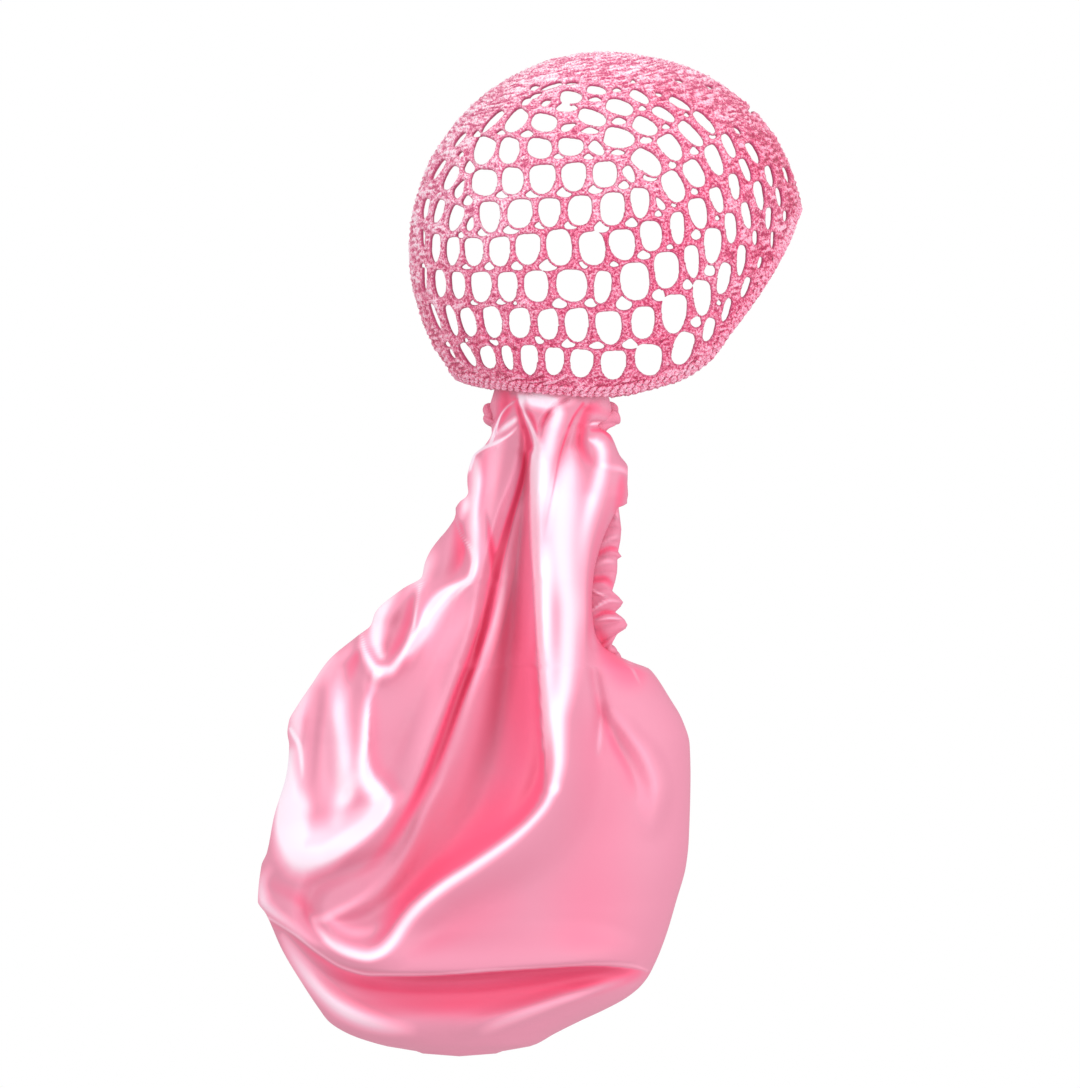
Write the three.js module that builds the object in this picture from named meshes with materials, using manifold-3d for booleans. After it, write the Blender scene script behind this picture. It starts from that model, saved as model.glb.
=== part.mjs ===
// Crocheted net sleep bonnet in its worn form, with a gathered satin hair bag hanging from its rim.
// Millimetres, +Z up, +X to the forehead side, -Y to the side that carries the bag.
// The origin is the top of the head inside the crown, where a head holds the bonnet up.
import * as THREE from "three";
import { mergeVertices } from "three/addons/utils/BufferGeometryUtils.js";
import Module from "manifold-3d";

// The head form that the net is stretched over, as an ellipsoid, and the yarn's thickness.
const HEAD_WIDTH = 220;
const HEAD_DEPTH = 184;
const HEAD_HEIGHT = 220;
const NET_WALL = 3;
const GAP = 0.3;
const MERGE_WITHIN = 1e-3;
const SEAT_HEIGHT = HEAD_HEIGHT / 2 - NET_WALL;

// The crochet starts at a crown that leans back on the head, and its rounds dip over both ears.
const CROWN_LEAN = 13.9;
const EAR_DIP = 19.5;
const EAR_DIP_WHOLE_BY = 40;
const FOREHEAD_ROUNDING = 0.2;
const NET_COLUMNS = 16;
const NET_ROUNDS = [14, 26, 39, 52.5, 66, 80, 94.5];
const NET_STRAND = 4.2;
const STRAND_MOST = 0.4;
const HOLE_ROUNDING = 0.8;
const RIM_ROUND = 121;
const RIM_PULL = 1.4;

// The rim's lower edge: degrees from the crown, by the angle round it from the forehead.
const RIM_EDGE = [
  { round: 0, reach: 92.5 },
  { round: 12, reach: 94.5 },
  { round: 25, reach: 101.5 },
  { round: 40, reach: 113 },
  { round: 52, reach: 123.5 },
  { round: 62, reach: 133 },
  { round: 75, reach: 137 },
  { round: 93, reach: 137.5 },
  { round: 108, reach: 135.5 },
  { round: 123, reach: 131 },
  { round: 134, reach: 127.4 },
  { round: 158, reach: 121 },
  { round: 180, reach: 117 },
];
const BAND_HEIGHT = 14;
const BAND_WALL = 4.4;
const BAND_GAP = 1.6 * GAP;
const BAND_EDGE_ROUNDING = 0.7;
const BAND_FLAT = [0.2, 0.8];

// Sections of the satin bag, down from its gathered neck, in heights from the head's middle.
// front and back are how far the cloth stands from the bag's middle plane, lift raises the front's
// middle, leftRise raises its left end, and sag lowers the middle of the back.
const BAG_MIDDLE = -48;
const SATIN_WALL = 2;
const BAG_SECTIONS = [
  { height: -74, left: -62.5, right: -1, front: 7, back: 7, lift: 0, leftRise: 0, sag: 0 },
  { height: -83, left: -62.5, right: -1, front: 7, back: 8, lift: 0, leftRise: 0, sag: 0 },
  { height: -92, left: -66, right: 2, front: 9, back: 9, lift: 0, leftRise: 0, sag: 0 },
  { height: -99, left: -65, right: -2, front: 11, back: 9, lift: 0, leftRise: 0, sag: 0 },
  { height: -110, left: -67, right: 4, front: 14, back: 10, lift: 0, leftRise: 0, sag: 0 },
  { height: -124, left: -75, right: 10, front: 18, back: 11, lift: 0, leftRise: 0, sag: 0 },
  { height: -140, left: -82, right: 9, front: 21, back: 12, lift: 0, leftRise: 0, sag: 0 },
  { height: -150, left: -86, right: 3, front: 24, back: 14, lift: 0, leftRise: 0, sag: 0 },
  { height: -165, left: -95, right: -1, front: 27, back: 17, lift: 0, leftRise: 0, sag: 0 },
  { height: -182, left: -104, right: -3, front: 31, back: 20, lift: 0, leftRise: 0, sag: 0 },
  { height: -198, left: -121, right: -3, front: 34, back: 24, lift: 0, leftRise: 0, sag: 0 },
  { height: -214, left: -139, right: 0, front: 38, back: 28, lift: 0, leftRise: 0, sag: -7 },
  { height: -226, left: -151, right: 9, front: 40, back: 33, lift: 0, leftRise: 0, sag: -13 },
  { height: -240, left: -165, right: 25, front: 43, back: 37, lift: 0, leftRise: 0, sag: -8 },
  { height: -258, left: -175, right: 39, front: 46, back: 40, lift: 0, leftRise: 0, sag: -3 },
  { height: -278, left: -178, right: 45, front: 48, back: 43, lift: 0, leftRise: 0, sag: 0 },
  { height: -300, left: -184, right: 46.5, front: 50, back: 44, lift: 0, leftRise: 0, sag: 0 },
  { height: -322, left: -189, right: 46, front: 51, back: 44, lift: 0, leftRise: 2, sag: 0 },
  { height: -344, left: -193, right: 43, front: 52, back: 43, lift: 0, leftRise: 8, sag: 0 },
  { height: -366, left: -194.5, right: 38, front: 53, back: 41, lift: 0, leftRise: 15, sag: 0 },
  { height: -386, left: -189, right: 32, front: 54, back: 38, lift: -2, leftRise: 22, sag: 0 },
  { height: -400, left: -182, right: 26, front: 50, back: 35, lift: -3, leftRise: 24, sag: 0 },
  { height: -403, left: -178, right: 24, front: 41, back: 34, lift: 5, leftRise: 20, sag: 0 },
  { height: -412, left: -169, right: 17, front: 38, back: 31, lift: 3, leftRise: 12, sag: 0 },
  { height: -424, left: -159, right: 3, front: 37, back: 27, lift: 0, leftRise: 6, sag: 0 },
  { height: -435, left: -148, right: -19, front: 31, back: 21, lift: 0, leftRise: 3, sag: 0 },
  { height: -444, left: -133, right: -44, front: 21, back: 14, lift: 0, leftRise: 0, sag: 0 },
  { height: -449, left: -112, right: -62, front: 9, back: 7, lift: 0, leftRise: 0, sag: 0 },
];
const BAG_BOTTOM = { x: -88, height: -450.5 };
const NECK_SECTIONS = 2;
const MOUTH_SECTIONS = 12;
const NECK_LEVEL = -78;
const NECK_END = 0.11;
const NECK_PRESS = 0.8;
const GATHERED_TO = -150;
const GATHERED_FROM = -88;

// The folds of the front sheet, from right to left: each runs down the bag through these places,
// and stands out of the sheet's round form, or into it where it is a valley.
const BAG_FOLDS = {
  rightPanel: [
    { height: -83, x: -17, stand: 0 },
    { height: -104, x: -12, stand: -3 },
    { height: -130, x: -8, stand: 1 },
    { height: -185, x: -14, stand: 2 },
    { height: -240, x: -4, stand: -3 },
    { height: -290, x: 4, stand: -2 },
    { height: -400, x: -10, stand: 0 },
    { height: -449, x: -70, stand: 0 },
  ],
  rightCrest: [
    { height: -83, x: -35, stand: 0 },
    { height: -147, x: -36, stand: 7 },
    { height: -198, x: -35, stand: 9 },
    { height: -247, x: -31, stand: 11 },
    { height: -282, x: -26, stand: 12 },
    { height: -302, x: -29, stand: 12 },
    { height: -322, x: -45, stand: 11 },
    { height: -342, x: -72, stand: 10 },
    { height: -360, x: -96, stand: 9 },
    { height: -380, x: -112, stand: 7 },
    { height: -400, x: -112, stand: 2 },
    { height: -412, x: -90, stand: 0 },
    { height: -449, x: -80, stand: 0 },
  ],
  valleyWall: [
    { height: -83, x: -44, stand: 0 },
    { height: -101, x: -46, stand: -4 },
    { height: -129, x: -46, stand: -11 },
    { height: -174, x: -45, stand: -16 },
    { height: -218, x: -43, stand: -20 },
    { height: -263, x: -38, stand: -22 },
    { height: -294, x: -37, stand: -20 },
    { height: -314, x: -51, stand: -18 },
    { height: -333, x: -81, stand: -15 },
    { height: -350, x: -108, stand: -12 },
    { height: -367, x: -125, stand: -9 },
    { height: -384, x: -139, stand: -3 },
    { height: -400, x: -137, stand: 0 },
    { height: -412, x: -102, stand: 0 },
    { height: -449, x: -84, stand: 0 },
  ],
  valleyFloor: [
    { height: -83, x: -47.5, stand: 0 },
    { height: -118, x: -50.5, stand: -8 },
    { height: -147, x: -52, stand: -15 },
    { height: -174, x: -54, stand: -20 },
    { height: -218, x: -59, stand: -24 },
    { height: -263, x: -66, stand: -26 },
    { height: -297, x: -78, stand: -24 },
    { height: -322, x: -98, stand: -20 },
    { height: -344, x: -122, stand: -15 },
    { height: -364, x: -140, stand: -10 },
    { height: -384, x: -151, stand: -3 },
    { height: -400, x: -148, stand: 0 },
    { height: -412, x: -115, stand: 0 },
    { height: -449, x: -90, stand: 0 },
  ],
  groove: [
    { height: -83, x: -51, stand: 0 },
    { height: -118, x: -55, stand: -6 },
    { height: -144, x: -58, stand: -11 },
    { height: -174, x: -63, stand: -15 },
    { height: -198, x: -68, stand: -17 },
    { height: -227, x: -77, stand: -17 },
    { height: -262, x: -91, stand: -16 },
    { height: -297, x: -106, stand: -13 },
    { height: -322, x: -124, stand: -10 },
    { height: -344, x: -143, stand: -7 },
    { height: -364, x: -156, stand: -4 },
    { height: -386, x: -160, stand: -1 },
    { height: -400, x: -156, stand: 0 },
    { height: -412, x: -128, stand: 0 },
    { height: -449, x: -95, stand: 0 },
  ],
  leftCrest: [
    { height: -83, x: -54.5, stand: 0 },
    { height: -104, x: -58, stand: 3 },
    { height: -124, x: -67, stand: 5 },
    { height: -147, x: -71, stand: 6 },
    { height: -174, x: -75, stand: 6 },
    { height: -202, x: -88, stand: 6 },
    { height: -232, x: -101, stand: 5 },
    { height: -270, x: -112, stand: 4 },
    { height: -309, x: -123, stand: 6 },
    { height: -330, x: -144, stand: 5 },
    { height: -350, x: -161, stand: 4 },
    { height: -386, x: -170, stand: 0 },
    { height: -412, x: -142, stand: 0 },
    { height: -449, x: -100, stand: 0 },
  ],
  pocket: [
    { height: -83, x: -58, stand: 0 },
    { height: -110, x: -62.5, stand: 0 },
    { height: -140, x: -77, stand: 0 },
    { height: -170, x: -86, stand: -5 },
    { height: -190, x: -95, stand: -2 },
    { height: -218, x: -116, stand: -6 },
    { height: -240, x: -130, stand: -2 },
    { height: -290, x: -140, stand: -3 },
    { height: -330, x: -164, stand: 2 },
    { height: -356, x: -180, stand: 2 },
    { height: -400, x: -171, stand: 0 },
    { height: -449, x: -106, stand: 0 },
  ],
};
const STEPS_PER_FOLD = 3;
const BACK_COLUMNS = 14;
const BAG_ROUNDNESS = 0.45;
const LEFT_RISE_FROM = 0.55;

// The ruched elastic casing that edges the bag's mouth. Down the bag's right side it is wider and
// turns outwards, where the cloth behind the right panel shows.
const CASING_RUN = [
  { height: -92, width: 6, turn: 0 },
  { height: -135, width: 6, turn: 0.1 },
  { height: -152, width: 9, turn: 0.8 },
  { height: -170, width: 12.5, turn: 1.6 },
  { height: -200, width: 13, turn: 1.8 },
  { height: -214, width: 10, turn: 1.2 },
  { height: -226, width: 6, turn: 0.2 },
];
const CASING_LEFT_SHARE = 0.25;
const CASING_SEAT = 1.25;
const CASING_THICKNESS = 3.8;
const CASING_STATIONS = 96;
const CASING_PUCKERS = 21;
const CASING_PUCKER_DEPTH = 0.2;
const CASING_SIDES = 6;
const CASING_WIDENS_OVER = [0.3, 0.8];
const CUT_TOLERANCE = 0.02;

const wasm = await Module();
wasm.setup();

const YARN = new THREE.MeshStandardMaterial({ color: 0xee7aa0, roughness: 0.95, metalness: 0 });
const SATIN = new THREE.MeshStandardMaterial({ color: 0xf7a6c2, roughness: 0.35, metalness: 0 });

// A smooth curve through one column of a table, held flat past its ends.
function curveThrough(table, along, across) {
  const slopes = table.map((row, i) => {
    if (i === 0 || i === table.length - 1) return 0;
    const before = (row[across] - table[i - 1][across]) / (row[along] - table[i - 1][along]);
    const after = (table[i + 1][across] - row[across]) / (table[i + 1][along] - row[along]);
    return before * after <= 0 ? 0 : (2 * before * after) / (before + after);
  });
  return (at) => {
    const rising = table[1][along] > table[0][along] ? 1 : -1;
    let i = 0;
    while (i < table.length - 2 && rising * (at - table[i + 1][along]) > 0) i += 1;
    const step = table[i + 1][along] - table[i][along];
    const t = THREE.MathUtils.clamp((at - table[i][along]) / step, 0, 1);
    const share = 3 * t ** 2 - 2 * t ** 3;
    const value = THREE.MathUtils.lerp(table[i][across], table[i + 1][across], share);
    const leaving = t * (1 - t) ** 2 * slopes[i];
    const arriving = t ** 2 * (t - 1) * slopes[i + 1];
    return value + step * (leaving + arriving);
  };
}

// A closed shape from triangles of points, turned to face out, with the points that meet merged.
function closedShape(triangles) {
  const volume = triangles.reduce((sum, [a, b, c]) => sum + a.dot(b.clone().cross(c)), 0);
  const facing = volume > 0 ? triangles : triangles.map(([a, b, c]) => [a, c, b]);
  const points = facing.flat().flatMap((p) => [p.x, p.y, p.z]);
  const soup = new THREE.BufferGeometry();
  soup.setAttribute("position", new THREE.Float32BufferAttribute(points, 3));
  return mergeVertices(soup, MERGE_WITHIN);
}

function piece(name, geometry, material) {
  geometry.computeVertexNormals();
  const mesh = new THREE.Mesh(geometry, material);
  mesh.name = name;
  return mesh;
}

const asManifold = (shape) => new wasm.Manifold(new wasm.Mesh({
  numProp: 3,
  vertProperties: shape.attributes.position.array,
  triVerts: new Uint32Array(shape.index.array),
}));

// The largest body that is left of one shape when another is cut out of it with a gap on all sides.
function cutClear(geometry, cutter, gap) {
  const tool = asManifold(cutter);
  let rest = asManifold(geometry).subtract(tool);
  for (const way of [-gap, gap]) {
    rest = rest.subtract(tool.translate([way, 0, 0]));
    rest = rest.subtract(tool.translate([0, way, 0]));
    rest = rest.subtract(tool.translate([0, 0, way]));
  }
  const largest = rest.decompose().reduce((best, one) => (one.volume() > best.volume() ? one : best));
  const { vertProperties, triVerts } = largest.simplify(CUT_TOLERANCE).getMesh();
  const cut = new THREE.BufferGeometry();
  cut.setAttribute("position", new THREE.BufferAttribute(vertProperties, 3));
  cut.setIndex(new THREE.BufferAttribute(triVerts, 1));
  return cut;
}

const quad = (a, b, c, d) => [
  [a, b, c],
  [a, c, d],
];

const rimReach = curveThrough(RIM_EDGE, "round", "reach");

// Degrees from the crown to the rim, the same on both sides of the head.
function rimAt(round) {
  const folded = Math.abs(((((round + 180) % 360) + 360) % 360) - 180);
  return rimReach(folded);
}

// Degrees from the crown to a crochet round, which dips over the ears and closes up to the rim.
function roundAt(level, round) {
  const dipping = THREE.MathUtils.smoothstep(level, 0, EAR_DIP_WHOLE_BY);
  const dip = THREE.MathUtils.degToRad(EAR_DIP * dipping);
  const side = Math.sin(THREE.MathUtils.degToRad(round));
  const softSide = Math.hypot(side, FOREHEAD_ROUNDING) - FOREHEAD_ROUNDING;
  const across = Math.sin(dip) * softSide;
  const reach = (angle) => {
    const ratio = Math.min(1, Math.cos(THREE.MathUtils.degToRad(angle)) / Math.hypot(Math.cos(dip), across));
    return THREE.MathUtils.radToDeg(Math.atan2(across, Math.cos(dip)) + Math.acos(ratio));
  };
  const pull = rimAt(round) / reach(RIM_ROUND) - 1;
  return reach(level) * (1 + pull * (level / RIM_ROUND) ** RIM_PULL);
}

// A point of the head form: degrees from the crown, degrees round from the forehead, and mm proud.
function headPoint(reach, round, proud) {
  const lean = THREE.MathUtils.degToRad(CROWN_LEAN);
  const crown = new THREE.Vector3(-Math.sin(lean), 0, Math.cos(lean));
  const forehead = new THREE.Vector3(Math.cos(lean), 0, Math.sin(lean));
  const ear = new THREE.Vector3(0, -1, 0);
  const a = THREE.MathUtils.degToRad(reach);
  const b = THREE.MathUtils.degToRad(round);
  const way = crown.multiplyScalar(Math.cos(a));
  way.addScaledVector(forehead, Math.sin(a) * Math.cos(b));
  way.addScaledVector(ear, Math.sin(a) * Math.sin(b));
  const half = new THREE.Vector3(HEAD_WIDTH / 2, HEAD_DEPTH / 2, HEAD_HEIGHT / 2).addScalar(proud);
  return way.multiply(half);
}

const cellRing = [[-1, -1], [0, -1], [1, -1], [1, 0], [1, 1], [0, 1], [-1, 1], [-1, 0]];
const degreesFor = (length) => THREE.MathUtils.radToDeg(length / (HEAD_HEIGHT / 2));
const bandTop = (round) => rimAt(round) - degreesFor(BAND_HEIGHT);

// One cell of the net from one crochet round to the next, with a rounded hole cut through its wall.
function netCell(upper, lower, column) {
  const step = 360 / NET_COLUMNS;
  const place = (across, down, proud) => {
    const round = (column + 0.5 + across / 2) * step;
    const reach = THREE.MathUtils.lerp(upper(round), lower(round), (down + 1) / 2);
    return headPoint(reach, round, proud);
  };
  const wide = place(-1, 0, 0).distanceTo(place(1, 0, 0));
  const tall = place(0, -1, 0).distanceTo(place(0, 1, 0));
  const strand = Math.min(NET_STRAND, STRAND_MOST * tall);
  const hole = (across, down, proud) => {
    const corner = across && down ? HOLE_ROUNDING : 1;
    return place(across * (1 - NET_STRAND / wide) * corner, down * (1 - strand / tall) * corner, proud);
  };
  return cellRing.flatMap((a, i) => {
    const b = cellRing[(i + 1) % cellRing.length];
    const outer = [place(...a, 0), hole(...a, 0), hole(...b, 0), place(...b, 0)];
    const inside = -NET_WALL;
    const inner = [place(...a, inside), place(...b, inside), hole(...b, inside), hole(...a, inside)];
    return [...quad(...outer), ...quad(...inner), ...quad(outer[1], inner[3], inner[2], outer[2])];
  });
}

// The worn net: a wall over the head form, closed at its crown and pierced from there to the rim.
function netCrown() {
  const rounds = NET_ROUNDS.map((level) => (round) => roundAt(level, round));
  rounds.push((round) => bandTop(round) - degreesFor(BAND_GAP));
  const triangles = [];
  for (let k = 0; k < rounds.length - 1; k += 1) {
    for (let j = 0; j < NET_COLUMNS; j += 1) triangles.push(...netCell(rounds[k], rounds[k + 1], j));
  }
  const crown = (portion, round, proud) => headPoint(portion * rounds[0](round), round, proud);
  const edge = (round, proud) => headPoint(rounds[rounds.length - 1](round), round, proud);
  const inside = -NET_WALL;
  for (let j = 0; j < 2 * NET_COLUMNS; j += 1) {
    const [a, b] = [j, j + 1].map((side) => (180 * side) / NET_COLUMNS);
    triangles.push([crown(0, a, 0), crown(0.5, a, 0), crown(0.5, b, 0)]);
    triangles.push([crown(0, a, inside), crown(0.5, b, inside), crown(0.5, a, inside)]);
    triangles.push(...quad(crown(0.5, a, 0), crown(1, a, 0), crown(1, b, 0), crown(0.5, b, 0)));
    triangles.push(...quad(
      crown(0.5, a, inside),
      crown(0.5, b, inside),
      crown(1, b, inside),
      crown(1, a, inside),
    ));
    triangles.push(...quad(edge(a, 0), edge(a, inside), edge(b, inside), edge(b, 0)));
  }
  return piece("net_crown", closedShape(triangles), YARN);
}

// A closed ring of sections that all have the same number of corners.
function ringOf(sections) {
  const triangles = [];
  const count = sections.length;
  for (let i = 0; i < count; i += 1) {
    const [here, next] = [sections[i], sections[(i + 1) % count]];
    for (let s = 0; s < here.length; s += 1) {
      const t = (s + 1) % here.length;
      triangles.push(...quad(here[s], next[s], next[t], here[t]));
    }
  }
  return closedShape(triangles);
}

// The dense crochet band that ends the net at the rim.
function rimBand() {
  const proud = (BAND_WALL - NET_WALL) / 2;
  const [upper, lower] = BAND_FLAT;
  const sections = [];
  for (let j = 0; j < 2 * NET_COLUMNS; j += 1) {
    const round = (j * 180) / NET_COLUMNS;
    const reach = (part) => THREE.MathUtils.lerp(bandTop(round), rimAt(round), part);
    const at = (part, out) => headPoint(reach(part), round, out);
    sections.push([
      at(0, BAND_EDGE_ROUNDING - NET_WALL),
      at(upper, -NET_WALL - proud),
      at(lower, -NET_WALL - proud),
      at(1, BAND_EDGE_ROUNDING - NET_WALL),
      at(1, -BAND_EDGE_ROUNDING),
      at(lower, proud),
      at(upper, proud),
      at(0, -BAND_EDGE_ROUNDING),
    ]);
  }
  return piece("rim_band", ringOf(sections), YARN);
}

// The bag's neck follows the inside of the rim band, and the bag straightens below it.
function insideOfBand(x, height) {
  const inside = NET_WALL + (BAND_WALL - NET_WALL) / 2 + GAP + SATIN_WALL / 2 - NECK_PRESS;
  const [a, b, c] = [HEAD_WIDTH / 2 - inside, HEAD_DEPTH / 2 - inside, HEAD_HEIGHT / 2 - inside];
  const level = Math.max(height, NECK_LEVEL);
  return -b * Math.sqrt(Math.max(1 - (x / a) ** 2 - (level / c) ** 2, NECK_END));
}

// The bag's middle plane at a place: along the band at the neck, and flat further down.
function bagMiddle(x, section) {
  const gathered = THREE.MathUtils.smoothstep(section.height, GATHERED_TO, GATHERED_FROM);
  return THREE.MathUtils.lerp(BAG_MIDDLE, insideOfBand(x, section.height) + section.front, gathered);
}

// How far out a section's round form stands between its left and right ends.
function roundness(x, section) {
  const across = (2 * x - section.left - section.right) / (section.right - section.left);
  return Math.max(1 - across ** 2, 0) ** BAG_ROUNDNESS;
}

const foldCurves = Object.values(BAG_FOLDS).map((path) => ({
  x: curveThrough(path, "height", "x"),
  stand: curveThrough(path, "height", "stand"),
}));
const FRONT_COLUMNS = (foldCurves.length + 1) * STEPS_PER_FOLD;

// One section of the bag's middle surface: the front sheet from right to left, then the back.
function bagSection(section) {
  const shape = (x, depth, stand) => new THREE.Vector3(
    x,
    bagMiddle(x, section) - depth * roundness(x, section) - stand,
    section.height,
  );
  const folds = foldCurves.map(({ x, stand }) =>
    shape(x(section.height), section.front, stand(section.height)));
  const front = [shape(section.right, 0, 0), ...folds, shape(section.left, 0, 0)];
  const back = [0.75, 0.5, 0.25].map((share) =>
    shape(THREE.MathUtils.lerp(section.right, section.left, share), -section.back, 0));
  const loop = new THREE.CatmullRomCurve3([...front, ...back], true, "centripetal");
  const frontShare = (front.length - 1) / (front.length + back.length);
  const points = [];
  for (let i = 0; i < FRONT_COLUMNS; i += 1) points.push(loop.getPoint((frontShare * i) / FRONT_COLUMNS));
  for (let i = 0; i < BACK_COLUMNS; i += 1) {
    points.push(loop.getPoint(frontShare + ((1 - frontShare) * i) / BACK_COLUMNS));
  }
  for (const [i, point] of points.entries()) {
    const across = THREE.MathUtils.clamp((section.right - point.x) / (section.right - section.left), 0, 1);
    const inward = Math.sin(Math.PI * across);
    point.z += i < FRONT_COLUMNS ? section.lift * Math.sqrt(inward) : section.sag * inward;
    point.z += section.leftRise * THREE.MathUtils.smoothstep(across, LEFT_RISE_FROM, 1);
  }
  return points;
}

const bagSurface = () => BAG_SECTIONS.map(bagSection);

function surfaceNormals(surface) {
  const columns = surface[0].length;
  return surface.map((points, row) =>
    points.map((_, i) => {
      const before = surface[row][(i + columns - 1) % columns];
      const along = surface[row][(i + 1) % columns].clone().sub(before);
      const above = surface[Math.max(row - 1, 0)][i];
      const below = surface[Math.min(row + 1, surface.length - 1)][i];
      return below.clone().sub(above).cross(along).normalize();
    }),
  );
}

const isMouth = (row, column) =>
  column >= FRONT_COLUMNS && row >= NECK_SECTIONS && row < MOUTH_SECTIONS;

// The bag as a wall of cloth on both sides of its middle surface, open at its mouth.
function bagShell(surface, wall) {
  const normals = surfaceNormals(surface);
  const columns = surface[0].length;
  const triangles = [];
  const side = (row, i, way) => surface[row][i].clone().addScaledVector(normals[row][i], (way * wall) / 2);
  const cellCorners = (row, i, way) => {
    const j = (i + 1) % columns;
    return [side(row, i, way), side(row + 1, i, way), side(row + 1, j, way), side(row, j, way)];
  };
  const open = (row, i) => isMouth(row, (i + columns) % columns);
  for (let row = 0; row < surface.length - 1; row += 1) {
    for (let i = 0; i < columns; i += 1) {
      if (open(row, i)) continue;
      const [a, b, c, d] = cellCorners(row, i, 1);
      const [e, f, g, h] = cellCorners(row, i, -1);
      triangles.push(...quad(d, c, b, a));
      if (row < 1) continue;
      triangles.push(...quad(e, f, g, h));
      if (open(row, i - 1)) triangles.push(...quad(a, b, f, e));
      if (open(row, i + 1)) triangles.push(...quad(c, d, h, g));
      if (open(row - 1, i)) triangles.push(...quad(d, a, e, h));
      if (open(row + 1, i)) triangles.push(...quad(b, c, g, f));
    }
  }
  const middleOf = (points) =>
    points.reduce((sum, p) => sum.add(p), new THREE.Vector3()).divideScalar(points.length);
  const fan = (row, way, centre, flip) => {
    for (let i = 0; i < columns; i += 1) {
      const [a, b] = [side(row, i, way), side(row, (i + 1) % columns, way)];
      triangles.push(flip ? [centre, a, b] : [centre, b, a]);
    }
  };
  const last = surface.length - 1;
  const bottom = (lift) => new THREE.Vector3(BAG_BOTTOM.x, BAG_MIDDLE, BAG_BOTTOM.height + lift);
  fan(0, 1, middleOf(surface[0]), false);
  fan(1, -1, middleOf(surface[1]), true);
  fan(last, 1, bottom(-wall / 2), true);
  fan(last, -1, bottom(wall / 2), false);
  return closedShape(triangles);
}

// The edge of the bag's mouth: down its right side, along the back, up the left and over the neck.
// Each station has its place on the edge and the way that leads off the cloth.
function mouthEdge(surface) {
  const columns = surface[0].length;
  const [top, low, left] = [NECK_SECTIONS, MOUTH_SECTIONS, FRONT_COLUMNS];
  const stations = [];
  const station = (row, i, innerRow, inner, side) => {
    const place = surface[row][i % columns];
    const way = place.clone().sub(surface[innerRow][inner]).normalize();
    stations.push({ place, way, side });
  };
  for (let row = top + 1; row < low; row += 1) station(row, 0, row, 1, 1);
  for (let i = columns - 1; i > left; i -= 1) station(low, i, low + 1, i, 0);
  for (let row = low - 1; row > top; row -= 1) station(row, left, row, left - 1, -CASING_LEFT_SHARE);
  for (let i = left + 1; i < columns; i += 1) station(top, i, top - 1, i, 0);
  return stations;
}

function mouthElastic(surface, bag) {
  const widthAt = curveThrough(CASING_RUN, "height", "width");
  const turnAt = curveThrough(CASING_RUN, "height", "turn");
  const stations = mouthEdge(surface);
  const ways = stations.map(({ place, way, side }) => {
    const turned = way.clone();
    turned.x += side * turnAt(place.z);
    return turned.normalize();
  });
  const centres = stations.map(({ place, side }, i) => {
    const width = side ? widthAt(place.z) : CASING_RUN[0].width;
    return place.clone().addScaledVector(ways[i], width * (1 + CASING_PUCKER_DEPTH) / 2 + CASING_SEAT);
  });
  const run = new THREE.CatmullRomCurve3(centres, true, "centripetal");
  const leads = new THREE.CatmullRomCurve3(ways, true, "centripetal");
  const sections = [];
  for (let i = 0; i < CASING_STATIONS; i += 1) {
    const t = run.getUtoTmapping(i / CASING_STATIONS);
    const centre = run.getPoint(t);
    const along = run.getTangent(t);
    const lead = leads.getPoint(t);
    lead.addScaledVector(along, -lead.dot(along)).normalize();
    const up = along.clone().cross(lead);
    const pucker = 1 + CASING_PUCKER_DEPTH * Math.sin((2 * Math.PI * CASING_PUCKERS * i) / CASING_STATIONS);
    const onRight = THREE.MathUtils.smoothstep(lead.x, ...CASING_WIDENS_OVER);
    const half = (THREE.MathUtils.lerp(CASING_RUN[0].width, widthAt(centre.z), onRight) / 2) * pucker;
    const section = [];
    for (let k = 0; k < CASING_SIDES; k += 1) {
      const a = (2 * Math.PI * k) / CASING_SIDES;
      const point = centre.clone().addScaledVector(lead, half * Math.cos(a));
      section.push(point.addScaledVector(up, (CASING_THICKNESS / 2) * pucker * Math.sin(a)));
    }
    sections.push(section);
  }
  return piece("mouth_elastic", cutClear(ringOf(sections), bag, 2 * GAP), SATIN);
}

const bonnet = new THREE.Group();
const surface = bagSurface();
bonnet.add(netCrown(), rimBand());
const bag = bagShell(surface, SATIN_WALL);
bonnet.add(piece("satin_bag", bag, SATIN), mouthElastic(surface, bag));
bonnet.position.z = -SEAT_HEIGHT;
export default bonnet;
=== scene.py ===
"""A crocheted net sleep bonnet in its worn form, with a gathered satin hair bag below its rim.

Lengths are millimetres from the origin, the top of the head inside the crown, and become metres
where a mesh is made. +Z is up, +X the forehead side, and the camera looks along +Y at the bag.
"""
import math

import bpy
import numpy as np
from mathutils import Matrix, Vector


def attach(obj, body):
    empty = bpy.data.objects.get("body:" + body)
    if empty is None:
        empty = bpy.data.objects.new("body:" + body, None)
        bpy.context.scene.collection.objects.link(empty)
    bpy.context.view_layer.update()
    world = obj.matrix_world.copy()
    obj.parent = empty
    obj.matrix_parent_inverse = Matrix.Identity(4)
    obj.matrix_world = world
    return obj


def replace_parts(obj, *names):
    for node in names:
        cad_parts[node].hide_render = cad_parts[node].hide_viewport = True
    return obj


MM = 0.001
SEED = 7

# The camera: the photograph's frame, and how many millimetres of the object one of its pixels shows.
FRAME_PIXELS = (1080, 1088)
MM_PER_PIXEL = 0.56
ORIGIN_PIXEL = (607, 58.9)
CAMERA_DISTANCE = 14.0
CAMERA_CLIP = (0.1, 100)
SENSOR = 36.0

# The head form under the net, as in the frame's net, and how the crown leans back.
HEAD_HALF = np.array([110, 92, 110])
NET_WALL = 3
SEAT_HEIGHT = HEAD_HALF[2] - NET_WALL
CROWN_LEAN = 13.9

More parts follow.
